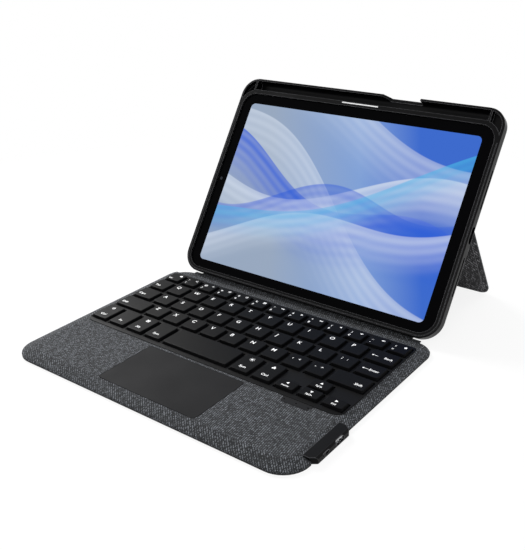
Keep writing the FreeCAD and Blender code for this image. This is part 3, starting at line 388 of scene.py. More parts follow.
def lit_display(name):
    """Lit panel behind glass: soft diagonal bands of blue and white on a pale blue-grey."""
    look = bpy.context.scene.case_display
    material, tree, shader = start(name)
    low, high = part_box("tablet_display")
    place = add(tree, "ShaderNodeTexCoord")
    flat = shell_matrix().inverted()
    corner = flat @ Vector((low.x, low.y, low.z))
    wide = high.x - low.x
    mapped = add(tree, "ShaderNodeMapping", {0: place.outputs["Object"], 1: flat.to_translation(),
                                             2: flat.to_euler()})
    origin = add(tree, "ShaderNodeVectorMath", {0: mapped.outputs[0], 1: (corner.x, corner.y, 0.0)},
                 operation="SUBTRACT")
    unit = add(tree, "ShaderNodeVectorMath", {0: origin.outputs[0], "Scale": 1 / wide}, operation="SCALE")
    axes = add(tree, "ShaderNodeSeparateXYZ", {0: unit.outputs[0]})
    u, v = axes.outputs[0], axes.outputs[1]
    diagonal = 0.35
    slope = add(tree, "ShaderNodeMath", {0: v, 1: diagonal, 2: u}, operation="MULTIPLY_ADD")
    tone = add(tree, "ShaderNodeValToRGB", {0: slope.outputs[0]},
               stops=[(0.35, look.pale), (0.75, look.sky), (1.0, look.deep)]).outputs[0]
    # Each band's height at the left, lean, size, beat and phase of its wave, depth, colour and weight
    bands = [(0.62, -0.55, 0.09, 5.2, 0.4, 0.34, look.white, 0.55),
             (0.50, -0.25, 0.07, 6.4, 1.9, 0.26, look.blue, 0.85),
             (0.38, 0.05, 0.08, 5.0, 3.3, 0.22, look.white, 0.7),
             (0.30, 0.10, 0.06, 7.2, 4.4, 0.18, look.blue, 0.6),
             (0.14, 0.22, 0.05, 6.0, 5.6, 0.16, look.white, 0.6),
             (0.84, -0.22, 0.09, 4.4, 0.9, 0.24, look.white, 0.5),
             (0.20, 0.36, 0.06, 4.6, 2.6, 0.14, look.cyan, 0.6)]
    crisp, silk_lines, silk_low = 0.002, 170.0, 0.74
    for rise, lean, swing, beat, phase, fade, code, weight in bands:
        wave = add(tree, "ShaderNodeMath", {0: u, 1: beat, 2: phase}, operation="MULTIPLY_ADD")
        sine = add(tree, "ShaderNodeMath", {0: wave.outputs[0]}, operation="SINE")
        line = add(tree, "ShaderNodeMath", {0: u, 1: lean, 2: rise}, operation="MULTIPLY_ADD")
        crest = add(tree, "ShaderNodeMath", {0: sine.outputs[0], 1: swing, 2: line.outputs[0]},
                    operation="MULTIPLY_ADD")
        below = add(tree, "ShaderNodeMath", {0: crest.outputs[0], 1: v}, operation="SUBTRACT")
        veil = add(tree, "ShaderNodeMapRange", {0: below.outputs[0], 1: 0.0, 2: fade, 3: weight, 4: 0.0},
                   interpolation_type="SMOOTHSTEP")
        edge = add(tree, "ShaderNodeMapRange", {0: below.outputs[0], 1: -crisp, 2: crisp, 3: 0.0, 4: 1.0})
        comb = add(tree, "ShaderNodeMath", {0: below.outputs[0], 1: silk_lines, 2: wave.outputs[0]},
                   operation="MULTIPLY_ADD")
        silk = add(tree, "ShaderNodeMath", {0: comb.outputs[0]}, operation="SINE")
        sheer = add(tree, "ShaderNodeMapRange", {0: silk.outputs[0], 1: -1.0, 2: 1.0, 3: silk_low, 4: 1.0})
        thin = add(tree, "ShaderNodeMath", {0: veil.outputs[0], 1: sheer.outputs[0]}, operation="MULTIPLY")
        share = add(tree, "ShaderNodeMath", {0: thin.outputs[0], 1: edge.outputs[0]}, operation="MULTIPLY")
        tone = add(tree, "ShaderNodeMix", {0: share.outputs[0], 6: tone, 7: linear(code)},
                   data_type="RGBA").outputs[2]
    finish_surface(tree, shader, {"Base Color": linear("#050608"), "Roughness": 0.12, "IOR": 1.5,
                                  "Specular IOR Level": GLASS_SHINE, "Emission Color": tone,
                                  "Emission Strength": look.glow})
    return material


def made(name, maker, *values):
    """Material by name, made on first use."""
    return bpy.data.materials.get(name) or maker(name, *values)


def fabric():
    """Grey twill of the outer covers."""
    look = bpy.context.scene.case_fabric
    return made("Polyester twill, woven grey", woven_polyester, look.dark, look.middle, look.light)


def coat(material, *nodes):
    """Gives CAD nodes a material."""
    for name in nodes:
        mesh = frame["nodes"][name].data
        mesh.materials.clear()
        mesh.materials.append(material)


def dress(rows):
    """Coats CAD nodes from rows of (material, maker, its values, nodes)."""
    for name, maker, values, nodes in rows:
        coat(made(name, maker, *values), *nodes)


# Shapes

def shell_matrix():
    """From the shell's flat frame (x, up the shell, out of its front) to the model's."""
    tilt = bpy.context.scene.case_shell.tilt
    hinge = Vector(JOINTS["shell_tilt"]["pos_m"])
    up = Vector((0, math.sin(tilt), math.cos(tilt)))
    out = Vector((0, -math.cos(tilt), math.sin(tilt)))
    origin = hinge + up * HINGE_BELOW_SHELL * MM - out * HINGE_DEPTH * MM
    return Matrix.Translation(origin) @ Matrix.Rotation(math.pi / 2 - tilt, 4, "X")


def arc(cx, cy, radius, first, last, steps):
    """Points along an arc, in degrees."""
    turns = [math.radians(first + (last - first) * i / steps) for i in range(steps + 1)]
    return [(cx + radius * math.cos(a), cy + radius * math.sin(a)) for a in turns]


def rounded_loop(x0, x1, y0, y1, radii, steps=6):
    """Rectangle with corner radii front-left, front-right, rear-right, rear-left."""
    corners = [(x0, y0, 1, 1, 180), (x1, y0, -1, 1, 270), (x1, y1, -1, -1, 0), (x0, y1, 1, -1, 90)]
    points = []
    for (x, y, sx, sy, turn), r in zip(corners, radii):
        r = max(r, 0.02)
        points += arc(x + sx * r, y + sy * r, r, turn, turn + 90, steps)
    return points


def base_loop(inset, rear_inset, steps=10):
    """Outline of the base, whose rear corners run on into the spine, in mm."""
    look = bpy.context.scene.case_base
    low, high = (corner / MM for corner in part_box("base_top_cover"))
    x, y0, y1 = high.x - inset, low.y + inset, high.y - rear_inset
    front, rear = look.front_radius - inset, look.rear_radius - inset
    centre_y = high.y + look.corner_run - inset - rear
    turn = math.degrees(math.asin((y1 - centre_y) / rear))
    return (arc(-x + front, y0 + front, front, 180, 270, steps)
            + arc(x - front, y0 + front, front, 270, 360, steps)
            + arc(x - rear, centre_y, rear, 0, turn, steps)
            + arc(-x + rear, centre_y, rear, 180 - turn, 180, steps))


def lofted(name, rings, cap=True):
    """Closed mesh through rings of (points, height) in mm, capped at both ends."""
    shape = bmesh.new()
    loops = [[shape.verts.new((x * MM, y * MM, z * MM)) for x, y in points] for points, z in rings]
    for one, two in zip(loops, loops[1:]):
        for i in range(len(one)):
            j = (i + 1) % len(one)
            shape.faces.new((one[i], one[j], two[j], two[i]))
    if cap:
        shape.faces.new(loops[0])
        shape.faces.new(loops[-1])
    bmesh.ops.recalc_face_normals(shape, faces=shape.faces)
    return as_object(name, shape)


def as_object(name, shape):
    """Object from a bmesh, linked to the scene."""
    mesh = bpy.data.meshes.new(name)
    shape.to_mesh(mesh)
    shape.free()
    obj = bpy.data.objects.new(name, mesh)
    bpy.context.scene.collection.objects.link(obj)
    return obj


def carve(obj, cutters):
    """Cuts the cutters out of an object and deletes them."""
    for cutter in cutters:
        cut = obj.modifiers.new("cut", "BOOLEAN")
        cut.operation = "DIFFERENCE"
        cut.solver = "EXACT"
        cut.object = cutter
    bpy.context.view_layer.update()
    mesh = bpy.data.meshes.new_from_object(obj.evaluated_get(bpy.context.evaluated_depsgraph_get()))
    obj.modifiers.clear()
    obj.data = mesh
    for cutter in cutters:
        bpy.data.objects.remove(cutter)


def column(loop, z0, z1):
    """Cutter over a loop."""
    return lofted("cutter", [(loop, z1), (loop, z0)])


def lay_weave(obj, turn=0.0, border=None):
    """Weave map in metres over the piece's flat frame; border faces keep the weave square to the edges."""
    layer = obj.data.uv_layers.get("weave") or obj.data.uv_layers.new(name="weave")
    c, s = math.cos(math.radians(turn)), math.sin(math.radians(turn))
    steepest_top = 0.5
    for face in obj.data.polygons:
        square = border is not None and border(face)
        upright = abs(face.normal.z) < steepest_top
        for index in face.loop_indices:
            x, y, z = obj.data.vertices[obj.data.loops[index].vertex_index].co
            p = (x + y, z) if upright else (x, y)
            layer.data[index].uv = p if square else (c * p[0] - s * p[1], s * p[0] + c * p[1])


def settle(obj, body, material, angle=14.0, matrix=None, replaced=()):
    """Smooths, places and coats a finished piece, and hangs it on its body."""
    if matrix is not None:
        obj.data.transform(matrix)
    obj.data.shade_smooth()
    obj.data.set_sharp_from_angle(angle=math.radians(angle))
    obj.data.materials.clear()
    obj.data.materials.append(material)
    if body:
        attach(obj, body)
    if replaced:
        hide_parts(*replaced)
    return obj


def fold_strip(name, path, half, matrix=None):
    """Strip of cover fabric along a (y, z) path in mm, laid over the fold between two bodies and hung on neither.
    """
    shape = bmesh.new()
    across = [-half + 2 * half * i / STRIP_COLUMNS for i in range(STRIP_COLUMNS + 1)]
    rows = [[shape.verts.new((x * MM, y * MM, z * MM)) for x in across] for y, z in path]
    for one, two in zip(rows, rows[1:]):
        for i in range(STRIP_COLUMNS):
            shape.faces.new((one[i], one[i + 1], two[i + 1], two[i]))
    obj = as_object(name, shape)
    layer = obj.data.uv_layers.new(name="weave")
    run = [0.0]
    for (y0, z0), (y1, z1) in zip(path, path[1:]):
        run.append(run[-1] + math.hypot(y1 - y0, z1 - z0))
    for loop in obj.data.loops:
        row = loop.vertex_index // len(across)
        layer.data[loop.index].uv = (obj.data.vertices[loop.vertex_index].co.x, run[row] * MM)
    settle(obj, None, fabric(), 60.0, matrix)
    thick = obj.modifiers.new("cloth", "SOLIDIFY")
    thick.thickness = STRIP_CLOTH * MM
    thick.offset = 0.0
    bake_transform(obj)
    return obj


def stitches(name, loop, z, step):
    """Row of flat stitches along a closed loop, each a small six-sided grain lying on the cloth."""
    closed = loop + loop[:1]
    run = [0.0]
    for (x0, y0), (x1, y1) in zip(closed, closed[1:]):
        run.append(run[-1] + math.hypot(x1 - x0, y1 - y0))

    def at(distance):
        i = max(j for j in range(len(loop)) if run[j] <= distance)
        part = (distance - run[i]) / max(run[i + 1] - run[i], 1e-9)
        return Vector(closed[i]).lerp(Vector(closed[i + 1]), part)

    shape = bmesh.new()
    count = int(run[-1] / step)
    covered, shoulder = 0.78, 0.6
    grain = ((0.0, 0.1, 0.02), (0.2, 0.26, 0.18), (0.8, 0.26, 0.18), (1.0, 0.1, 0.02))
    for k in range(count):
        first, last = at(k * run[-1] / count), at((k + covered) * run[-1] / count)
        way = (last - first).normalized()
        side = Vector((-way.y, way.x))
        rings = []
        for share, half, lift in grain:
            middle = first.lerp(last, share)
            offsets = ((-half, 0.0), (-half * shoulder, lift), (half * shoulder, lift), (half, 0.0))
            points = [(middle + side * reach, z + rise) for reach, rise in offsets]
            rings.append([shape.verts.new((q.x * MM, q.y * MM, up * MM)) for q, up in points])
        for one, two in zip(rings, rings[1:]):
            for i in range(4):
                shape.faces.new((one[i], two[i], two[(i + 1) % 4], one[(i + 1) % 4]))
        shape.faces.new(rings[0])
        shape.faces.new(rings[-1][::-1])
    bmesh.ops.recalc_face_normals(shape, faces=shape.faces)
    return as_object(name, shape)


# Pieces

class CASE_OT_base_fabric(bpy.types.Operator):
    """Woven cover over the base and the plain one under it"""
    bl_idname = "case.base_fabric"
    bl_label = "Base fabric"

    def execute(self, context):
        look = context.scene.case_base
        border, rear = look.border, look.rear_border
        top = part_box("base_top_cover")[1].z / MM
        rise = (top - look.edge_height) / border
        edge, cloth, binding = look.edge_height, look.cloth, look.binding
        pressed_line = [(1.2, 0.0), (0.3, 0.02), (-0.4, 0.16), (-0.8, 0.36), (-1.3, 0.42), (-1.8, 0.46)]
        outer = [(border + inset, top - drop) for inset, drop in pressed_line]
        outer += [(inset, edge + inset * rise) for inset in (6.0, 3.0, 0.9)]
        outer += [(0.4, edge + 0.02), (0.12, edge - 0.25), (0.0, edge - 0.7)]
        outer += [(0.0, binding + 0.1), (0.15, binding)]
        inner = [(cloth, binding), (cloth, edge - cloth), (border + cloth, top - cloth)]
        rings = [(base_loop(inset, inset * rear / border), z) for inset, z in outer + inner]
        cover = lofted("base_cover_woven", rings)

        largest_strip = 0.004

        def on_border(face):
            return face.area < largest_strip and face.center.z > binding * MM

        def window(node, grow):
            low, high = (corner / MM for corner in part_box(node))
            return low.x - grow, high.x + grow, low.y - grow, high.y + grow

        lay_weave(cover, LEAN, on_border)
        deck = rounded_loop(*window("key_deck", SEAT_GAP), DECK_CORNERS)
        x0, x1, y0, y1 = window("indicator_bar", SEAT_GAP)
        y1 -= SEAT_GAP
        lamp = [(x0, y1 + 1), (x0, y1), (x0 + LAMP_SLANT, y0), (x1 - LAMP_SLANT, y0), (x1, y1), (x1, y1 + 1)]
        pad = rounded_loop(*window("trackpad_plate", look.trackpad_gap), (TRACKPAD_CORNER,) * 4)
        x0, x1, y0, y1 = window("port_housing", SEAT_GAP)
        past_edge, square = 5.0, 0.02
        port = rounded_loop(x0, x1 + past_edge, y0, y1, (square,) * 4, 1)
        carve(cover, [column(loop, -1.0, top + 2.0) for loop in (deck, lamp, pad, port)])
        settle(cover, "base", fabric(), replaced=["base_top_cover"])
        underside = context.scene.case_fabric.underside
        under = made("Polyester backing, plain black", woven_polyester, "#08080a", underside, "#2c2c30")
        wrap = ((1.0, 0.0), (0.4, 0.0), (0.1, 0.15), (0.05, 0.4), (0.05, binding - 0.1),
                (0.3, binding - 0.02), (1.4, binding - 0.02), (1.4, cloth))
        rings = [(base_loop(inset, inset), z) for inset, z in wrap]
        floor = lofted("base_backing_fabric", rings)
        lay_weave(floor)
        carve(floor, [column(port, -1.0, 2.0)])
        settle(floor, "base", under, replaced=["base_bottom_cover"])
        return {"FINISHED"}


class CASE_OT_spine_fabric(bpy.types.Operator):
    """Fabric round the spine and across its two folds"""
    bl_idname = "case.spine_fabric"
    bl_label = "Spine fabric"

    def execute(self, context):
        low, high = (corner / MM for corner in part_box("spine_cover"))
        look = context.scene.case_base
        base_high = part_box("base_top_cover")[1] / MM
        radius = look.rear_radius
        centre_y = base_high.y + look.corner_run - radius
        wide = base_high.x - radius
        first = math.degrees(math.asin((low.y - centre_y) / radius))
        narrow = base_high.x - SPINE_INSET

        near_rear = 88

        def outline(inset):
            half = arc(wide, centre_y, radius - inset, first + 2 * inset, near_rear, 8)
            half = [(max(x, 0), min(max(y, low.y + inset), high.y)) for x, y in half]
            half += [(narrow - inset, half[-1][1]), (narrow - inset, high.y - inset)]
            return half + [(-x, y) for x, y in reversed(half)]

        mid = (low.z + high.z) / 2
        levels = ((0.5, high.z), (0.12, high.z - 0.1), (0.0, mid), (0.12, low.z + 0.1), (0.5, low.z))
        rings = [(outline(inset), z) for inset, z in levels]
        cover = lofted("spine_cover_woven", rings)
        lay_weave(cover)
        settle(cover, "spine", fabric(), replaced=["spine_cover"])
        fold = Vector(JOINTS["spine_fold"]["pos_m"]) / MM
        y, z = fold.y, high.z
        # From the base's cover down over the fold and out onto the spine, as (y, z)
        path = [(y - 1.6, 3.1), (y - 0.9, 2.74), (y - 0.35, 2.34), (y + 0.05, 1.86), (y + 0.5, z + 0.34),
                (y + 1.3, z + 0.12), (y + 2.6, z + 0.06)]
        side = 5.6
        fold_strip("base_fold_woven", path, base_high.x - side)
        hinge = Vector(JOINTS["shell_tilt"]["pos_m"]) / MM
        y, z = hinge.y, hinge.z
        top = high.z
        # From the spine's top over the fold and in under the shell, as (y, z)
        path = [(y - 2.4, top + 0.1), (y - 0.9, top + 0.08), (y - 0.2, top - 0.02), (y + 0.35, z + 0.45),
                (y + 0.9, z + 0.5), (y + 1.5, z + 0.55)]
        fold_strip("shell_fold_woven", path, SHELL_FOLD_HALF)
        return {"FINISHED"}


class CASE_OT_back_fabric(bpy.types.Operator):
    """Woven skin on the fixed half of the back"""
    bl_idname = "case.back_fabric"
    bl_label = "Back fabric"

    def execute(self, context):
        def outline(inset):
            x, r = BACK_HALF - inset, BACK_CORNER - inset
            radii = (SHARP_CORNER, SHARP_CORNER, r, r)
            return rounded_loop(-x, x, BACK_LOW + inset, BACK_TOP - inset, radii, 8)

        levels = ((0.35, 0.0), (0.1, 0.1), (0.0, 0.25), (0.0, SKIN), (2.0, SKIN))
        cover = lofted("back_skin_woven", [(outline(inset), n) for inset, n in levels])
        lay_weave(cover, LEAN)
        shell = context.scene.case_shell
        x, t, reach = shell.camera_x, shell.camera_t, CAMERA_REACH
        camera = rounded_loop(x - reach, x + reach, t - reach, t + reach, (CAMERA_CORNER,) * 4)
        carve(cover, [column(camera, -1.0, 2.0)])
        settle(cover, "shell", fabric(), matrix=shell_matrix(), replaced=["shell_upper_fabric"])
        return {"FINISHED"}


class CASE_OT_kickstand_fabric(bpy.types.Operator):
    """Outer skin and lining of the kickstand, and the fabric over its hinge"""
    bl_idname = "case.kickstand_fabric"
    bl_label = "Kickstand fabric"

    def execute(self, context):
        turn = math.radians(-JOINTS["kickstand_swing"]["range_deg"][0])
        pivot = Vector((0, STAND_HINGE_T, STAND_HINGE_N)) * MM
        swing = Matrix.Translation(pivot) @ Matrix.Rotation(turn, 4, "X") @ Matrix.Translation(-pivot)
        place = shell_matrix() @ swing

        def outline(inset):
            x, r = BACK_HALF - inset, STAND_CORNER - inset
            foot, head = STAND_HINGE_T - STAND_REACH + inset, STAND_HINGE_T - STAND_GAP - inset
            return rounded_loop(-x, x, foot, head, (r, r, SHARP_CORNER, SHARP_CORNER), 8)

        def layered(name, levels):
            return lofted(name, [(outline(inset), n) for inset, n in levels])

        inner, face_n, groove = STAND_INNER, STAND_INNER + LINING, STAND_INNER + 0.03
        outer = layered("kickstand_skin_woven",
                        ((0.6, 0.0), (0.15, 0.12), (0.0, 0.45), (0.0, inner - 0.1), (0.05, inner),
                         (STAND_EDGE, inner), (STAND_EDGE, SKIN)))
        lay_weave(outer, LEAN)
        settle(outer, "kickstand", fabric(), matrix=place, replaced=["kickstand_fabric"])
        look = context.scene.case_fabric
        cloth = made("Polyester lining, plain weave", woven_polyester, "#060607", look.lining, "#a2a2a6", 2.0)
        lining = layered("kickstand_lining_woven",
                         ((0.1, inner), (0.0, inner + 0.08), (0.5, face_n), (3.6, face_n), (3.9, groove),
                          (4.7, groove), (5.0, face_n)))
        lay_weave(lining)
        settle(lining, "kickstand", cloth, matrix=place, replaced=["kickstand_lining"])
        # The thread is drawn pale to give the light line along the seam; part of that line is a painted highlight
        # on the seam's edge
        thread = made("Polyester thread, waxed grey", woven_polyester, "#6a6a6d", "#8f8f93", "#b0b0b4", 0.4)
        seam = stitches("kickstand_seam_thread", outline(look.seam), groove + 0.01, look.stitch)
        lay_weave(seam)
        settle(seam, "kickstand", thread, 40.0, matrix=place)

        def on_stand(run, lift):
            away = STAND_HINGE_N + lift
            return (STAND_HINGE_T + away * math.sin(turn) - run * math.cos(turn),
                    STAND_HINGE_N - away * math.cos(turn) - run * math.sin(turn))

        # From the shell's back over the hinge and onto the kickstand, in the shell's flat frame
        path = [(STAND_HINGE_T + 4.0, -0.06), (STAND_HINGE_T + 2.0, -0.06), (STAND_HINGE_T + 1.45, -0.2),
                on_stand(1.5, 0.2), on_stand(2.2, 0.08), on_stand(4.0, 0.06)]
        matrix = shell_matrix()
        side = 1.0
        fold_strip("stand_fold_woven", path, BACK_HALF - side, matrix)
        return {"FINISHED"}


def key_rects(node):
    """Spans in x, y and z of each of a node's caps in mm, from left to right."""
    shape = bmesh.new()
    shape.from_mesh(frame["nodes"][node].data)
    bmesh.ops.remove_doubles(shape, verts=shape.verts, dist=1e-6)
    seen, found = set(), []
    for vert in shape.verts:
        if vert in seen:
            continue
        island, queue = [], [vert]
        seen.add(vert)
        while queue:
            one = queue.pop()
            island.append(one.co / MM)
            for edge in one.link_edges:
                other = edge.other_vert(one)
                if other not in seen:
                    seen.add(other)
                    queue.append(other)
        spans = [(min(p[i] for p in island), max(p[i] for p in island)) for i in range(3)]
        found.append(spans)
    shape.free()
    return sorted(found)


KEY_NODES = [node for nodes in BODIES.values() for node in nodes
             if node.endswith(("_key", "_keys")) or node == "space_bar"]


def body_of(node):
    """Body that carries a CAD node."""
    return next(body for body, nodes in BODIES.items() if node in nodes)


def join(name, objects):
    """One object from several."""
    shape = bmesh.new()
    for obj in objects:
        shape.from_mesh(obj.data)
        bpy.data.objects.remove(obj)
    return as_object(name, shape)


class CASE_OT_keycaps(bpy.types.Operator):
    """Hollow caps with rounded tops, one piece for each key or row"""
    bl_idname = "case.keycaps"
    bl_label = "Keycaps"

    def execute(self, context):
        look = context.scene.case_keys
        plastic = made("ABS, moulded fine matt", moulded_plastic, look.cap, 0.42, 0.35, 0.01, 0.035)
        for node in KEY_NODES:
            caps = []
            for (x0, x1), (y0, y1), (z0, z1) in key_rects(node):
                def ring(inset, z):
                    r = max(look.corner + look.taper - max(inset, 0.0), 0.3)
                    return rounded_loop(x0 + inset, x1 - inset, y0 + inset, y1 - inset, (r,) * 4, 4), z

                t, r, wall = look.taper, look.round_over, look.wall
                rounded_top = ((2.2, 0.0), (1.0, 0.0), (0.45, 0.12), (0.12, 0.45), (0.0, 1.0))
                rings = [ring(t + inset * r, z1 - drop * r) for inset, drop in rounded_top]
                rings += [ring(0.0, z0), ring(wall, z0), ring(wall + 0.2, z1 - wall - 0.1)]
                caps.append(lofted("cap", rings))
            settle(join(f"{node}_caps", caps), body_of(node), plastic, 30.0, replaced=[node])
        return {"FINISHED"}


ARROWS = {"left": 180, "right": 0, "up": 90, "down": 270}


def disc(x, y, r, sides=14, first=0.0):
    """Round or many-sided sign."""
    turns = [first + 2 * math.pi * i / sides for i in range(sides)]
    return [[(x + r * math.cos(a), y + r * math.sin(a)) for a in turns]]


def hoop(x, y, r, w, sides=16):
    """Ring of quads."""
    inner, outer = disc(x, y, r - w, sides)[0], disc(x, y, r, sides)[0]
    return [[outer[i], outer[(i + 1) % sides], inner[(i + 1) % sides], inner[i]] for i in range(sides)]


def bar(x0, y0, x1, y1):
    """Upright rectangle."""
    return [[(x0, y0), (x1, y0), (x1, y1), (x0, y1)]]


def wedge(x, y, r, turn):
    """Triangle that points along turn, in degrees."""
    return disc(x, y, r, 3, math.radians(turn))


def sun(r):
    """Disc with rays, for brightness."""
    rays = [(math.cos(a), math.sin(a)) for a in (math.pi * i / 4 for i in range(8))]
    reach, dot = 1.9 * r, 0.3 * r
    return disc(0, 0, r) + [d for c, s in rays for d in disc(c * reach, s * reach, dot, 8)]


def speaker(x):
    """Box and horn of a loudspeaker, from its left side."""
    neck, mouth = x + 0.6, x + 1.3
    return bar(x, -0.35, neck, 0.35) + [[(neck, -0.35), (mouth, -0.9), (mouth, 0.9), (neck, 0.35)]]


SIGNS = {
    "home": bar(-0.9, -0.8, 0.9, 0.3) + [[(-1.2, 0.3), (1.2, 0.3), (0, 1.2)]],
    "search": hoop(-0.2, 0.2, 0.85, 0.25) + [[(0.3, -0.5), (0.5, -0.3), (1.1, -0.9), (0.9, -1.1)]],
    "dim": sun(0.42),
    "bright": sun(0.6),
    "globe": hoop(0, 0, 1.0, 0.2) + bar(-0.9, -0.1, 0.9, 0.1) + bar(-0.1, -0.9, 0.1, 0.9),
    "grid": [corner for x in (-1, 0.15) for y in (-1, 0.15) for corner in bar(x, y, x + 0.85, y + 0.85)],
    "back": wedge(-0.6, 0, 0.8, 180) + wedge(0.6, 0, 0.8, 180),
    "play": wedge(0, 0, 1.0, 0),
    "next": wedge(-0.6, 0, 0.8, 0) + wedge(0.6, 0, 0.8, 0),
    "mute": speaker(-1.0),
    "quiet": speaker(-1.2) + bar(0.4, -0.4, 0.6, 0.4),
    "loud": speaker(-1.2) + bar(0.4, -0.4, 0.6, 0.4) + bar(0.85, -0.7, 1.05, 0.7),
    "lock": bar(-0.8, -0.9, 0.8, 0.25) + hoop(0, 0.3, 0.65, 0.22),
    "dots": disc(-0.55, -0.35, 0.5) + disc(0.55, -0.35, 0.5) + disc(0, 0.55, 0.5),
}
NUMBER_SIGNS = ["home", "search", "dim", "bright", "globe", "grid", "back", "play", "next", "mute", "quiet",
                "loud", "lock"]
MODIFIER_SIGNS = {"left_modifier_keys": ["globe", None, "grid", None],
                  "right_modifier_keys": ["bright", "dots"]}
LEGENDS = {
    "number_row_keys": [["Esc"]] + [[digit, sign] for digit, sign in zip("1234567890-=", "!@#$%^&*()_+")],
    "upper_row_keys": [[c] for c in "QWERTYUIOP"],
    "home_row_keys": [[c] for c in "ASDFGHJKL"] + [[";", ":"]],
    "lower_row_keys": [[c] for c in "ZXCVBNM"] + [[",", "<"], [".", ">"]],
    "left_modifier_keys": [["Ctrl"], ["Fn"], ["Alt"], ["Sym"]],
    "right_modifier_keys": [["Sym"], ["Ctrl"]],
    "tab_key": [["Tab"]], "backspace_key": [["Back"]], "caps_key": [["Caps"]], "enter_key": [["Enter"]],
    "left_shift_key": [["Shift"]], "right_shift_key": [["Shift"]],
    "arrow_left_key": [["Home"]], "arrow_down_key": [["PgDn"]],
    "arrow_up_key": [["PgUp"]], "arrow_right_key": [["End"]],
}


class CASE_OT_legends(bpy.types.Operator):
    """Printed letters, words and arrows on the caps"""
    bl_idname = "case.legends"
    bl_label = "Key legends"

    def execute(self, context):
        look = context.scene.case_keys
        ink = made("Ink, laser-marked white", printed_ink, look.print)
        curve = bpy.data.curves.new("legend", "FONT")
        curve.offset = LEGEND_WEIGHT * MM
        writer = bpy.data.objects.new("legend", curve)
        context.scene.collection.objects.link(writer)
        for node, words in LEGENDS.items():
            shape = bmesh.new()

            def write(text, size, x, y, z, align):
                curve.body = text
                curve.size = size * MM
                curve.align_x = align
                context.view_layer.update()
                mesh = bpy.data.meshes.new_from_object(writer)
                mesh.transform(Matrix.Translation(Vector((x, y, z + LEGEND_LIFT)) * MM))
                shape.from_mesh(mesh)
                bpy.data.meshes.remove(mesh)

            def polygon(points, z):
                height = (z + LEGEND_LIFT) * MM
                shape.faces.new([shape.verts.new((x * MM, y * MM, height)) for x, y in points])

            def stamp(kind, size, x, y, z):
                for points in SIGNS[kind]:
                    polygon([(x + size * a, y + size * b) for a, b in points], z)

            # Each legend is placed by its distance from the sides of the cap's top
            for place, (((x0, x1), (y0, y1), (z0, z1)), texts) in enumerate(zip(key_rects(node), words)):
                t = look.taper
                x0, x1, y0, y1 = x0 + t, x1 - t, y0 + t, y1 - t
                middle = (x0 + x1) / 2
                arrow = next((turn for way, turn in ARROWS.items() if node == f"arrow_{way}_key"), None)
                several = len(texts) > 1
                if arrow is not None:
                    write(texts[0], ARROW_WORD, middle, y0 + 1.7, z1, "CENTER")
                    for points in wedge(middle, y0 + 6.1, ARROW_HEAD, arrow):
                        polygon(points, z1)
                elif node == "number_row_keys":
                    stamp(NUMBER_SIGNS[place], ROW_SIGN, x1 - 3.6, y1 - 3.4, z1)
                    write(texts[0], DIGIT if several else ESCAPE_WORD, x0 + 1.9, y0 + 1.9, z1, "LEFT")
                    if several:
                        write(texts[1], SHIFTED_SIGN, x0 + 2.0, y0 + 6.9, z1, "LEFT")
                elif len(texts[0]) == 1:
                    write(texts[0], look.letter, x0 + 2.9, y1 - 6.1, z1, "LEFT")
                    if several:
                        write(texts[1], SECOND_SIGN, x0 + 7.6, y1 - 6.1, z1, "LEFT")
                elif node.endswith("modifier_keys"):
                    write(texts[0], look.word, middle, y0 + 4.2, z1, "CENTER")
                    if MODIFIER_SIGNS[node][place]:
                        stamp(MODIFIER_SIGNS[node][place], MODIFIER_SIGN, middle, y1 - 5.2, z1)
                elif node in ("backspace_key", "enter_key"):
                    write(texts[0], look.word, x1 - 2.6, y0 + 6.0, z1, "RIGHT")
                    tip, line, head, tail = x0 + 2.2, y0 + 7.0, 1.5, 5.0
                    barb, shaft = 0.9, 0.15
                    polygon([(tip, line), (tip + head, line - barb), (tip + head, line + barb)], z1)
                    for points in bar(tip + head, line - shaft, tip + tail, line + shaft):
                        polygon(points, z1)
                elif node == "right_shift_key":
                    write(texts[0], look.word, x1 - 3.0, y0 + 4.0, z1, "RIGHT")
                else:
                    write(texts[0], look.word, x0 + 2.2, y0 + 4.0, z1, "LEFT")
            settle(as_object(f"{node}_legends", shape), body_of(node), ink)
        bpy.data.objects.remove(writer)
        return {"FINISHED"}


class CASE_OT_key_deck(bpy.types.Operator):
    """Finishes of the plate round the keys, the trackpad, the lamps and what lies under them"""
    bl_idname = "case.key_deck"
    bl_label = "Key deck and trackpad"

    def execute(self, context):
        look = context.scene.case_keys
        dress([
            ("ABS, moulded black deck", moulded_plastic, (look.deck, 0.5, 0.5, 0.015, 0.06), ["key_deck"]),
            ("Polyester film, matt trackpad", moulded_plastic, (look.trackpad, 0.6, 0.2, 0.004, 0.03),
             ["trackpad_plate"]),
            ("ABS, moulded core", moulded_plastic, ("#1a1a1b", 0.6, 0.6, 0.02), ["base_core_frame"]),
            ("ABS, indicator bar", moulded_plastic, ("#0b0b0c", 0.5, 0.4, 0.012, 0.1), ["indicator_bar"]),
            ("Acrylic, smoked lamp", polished_glass, ("#060607",), ["indicator_lights"]),
            ("Steel, stamped support", metal, ("#9a9b9c", 0.4, 0.4),
             ["key_support_plate", "trackpad_switch", "base_magnets"]),
            ("Acrylic, light guide", moulded_plastic, ("#d9dcdf", 0.2, 2.0, 0.001), ["backlight_sheet"]),
            ("Polyester film, printed membrane", moulded_plastic, ("#0c0c0d", 0.5, 1.0, 0.001, 0.2),
             ["membrane_sheet"]),
            ("Silicone, moulded dome", moulded_plastic, ("#141415", 0.6, 0.5, 0.004, 0.2), ["key_domes"]),
            ("Epoxy laminate, solder mask", moulded_plastic, ("#0f4a2a", 0.35, 0.8, 0.006),
             ["main_board", "trackpad_board"]),
            ("Aluminium foil, pouch cell", metal, ("#b9babb", 0.35, 1.0), ["battery_cell"]),
        ])
        return {"FINISHED"}


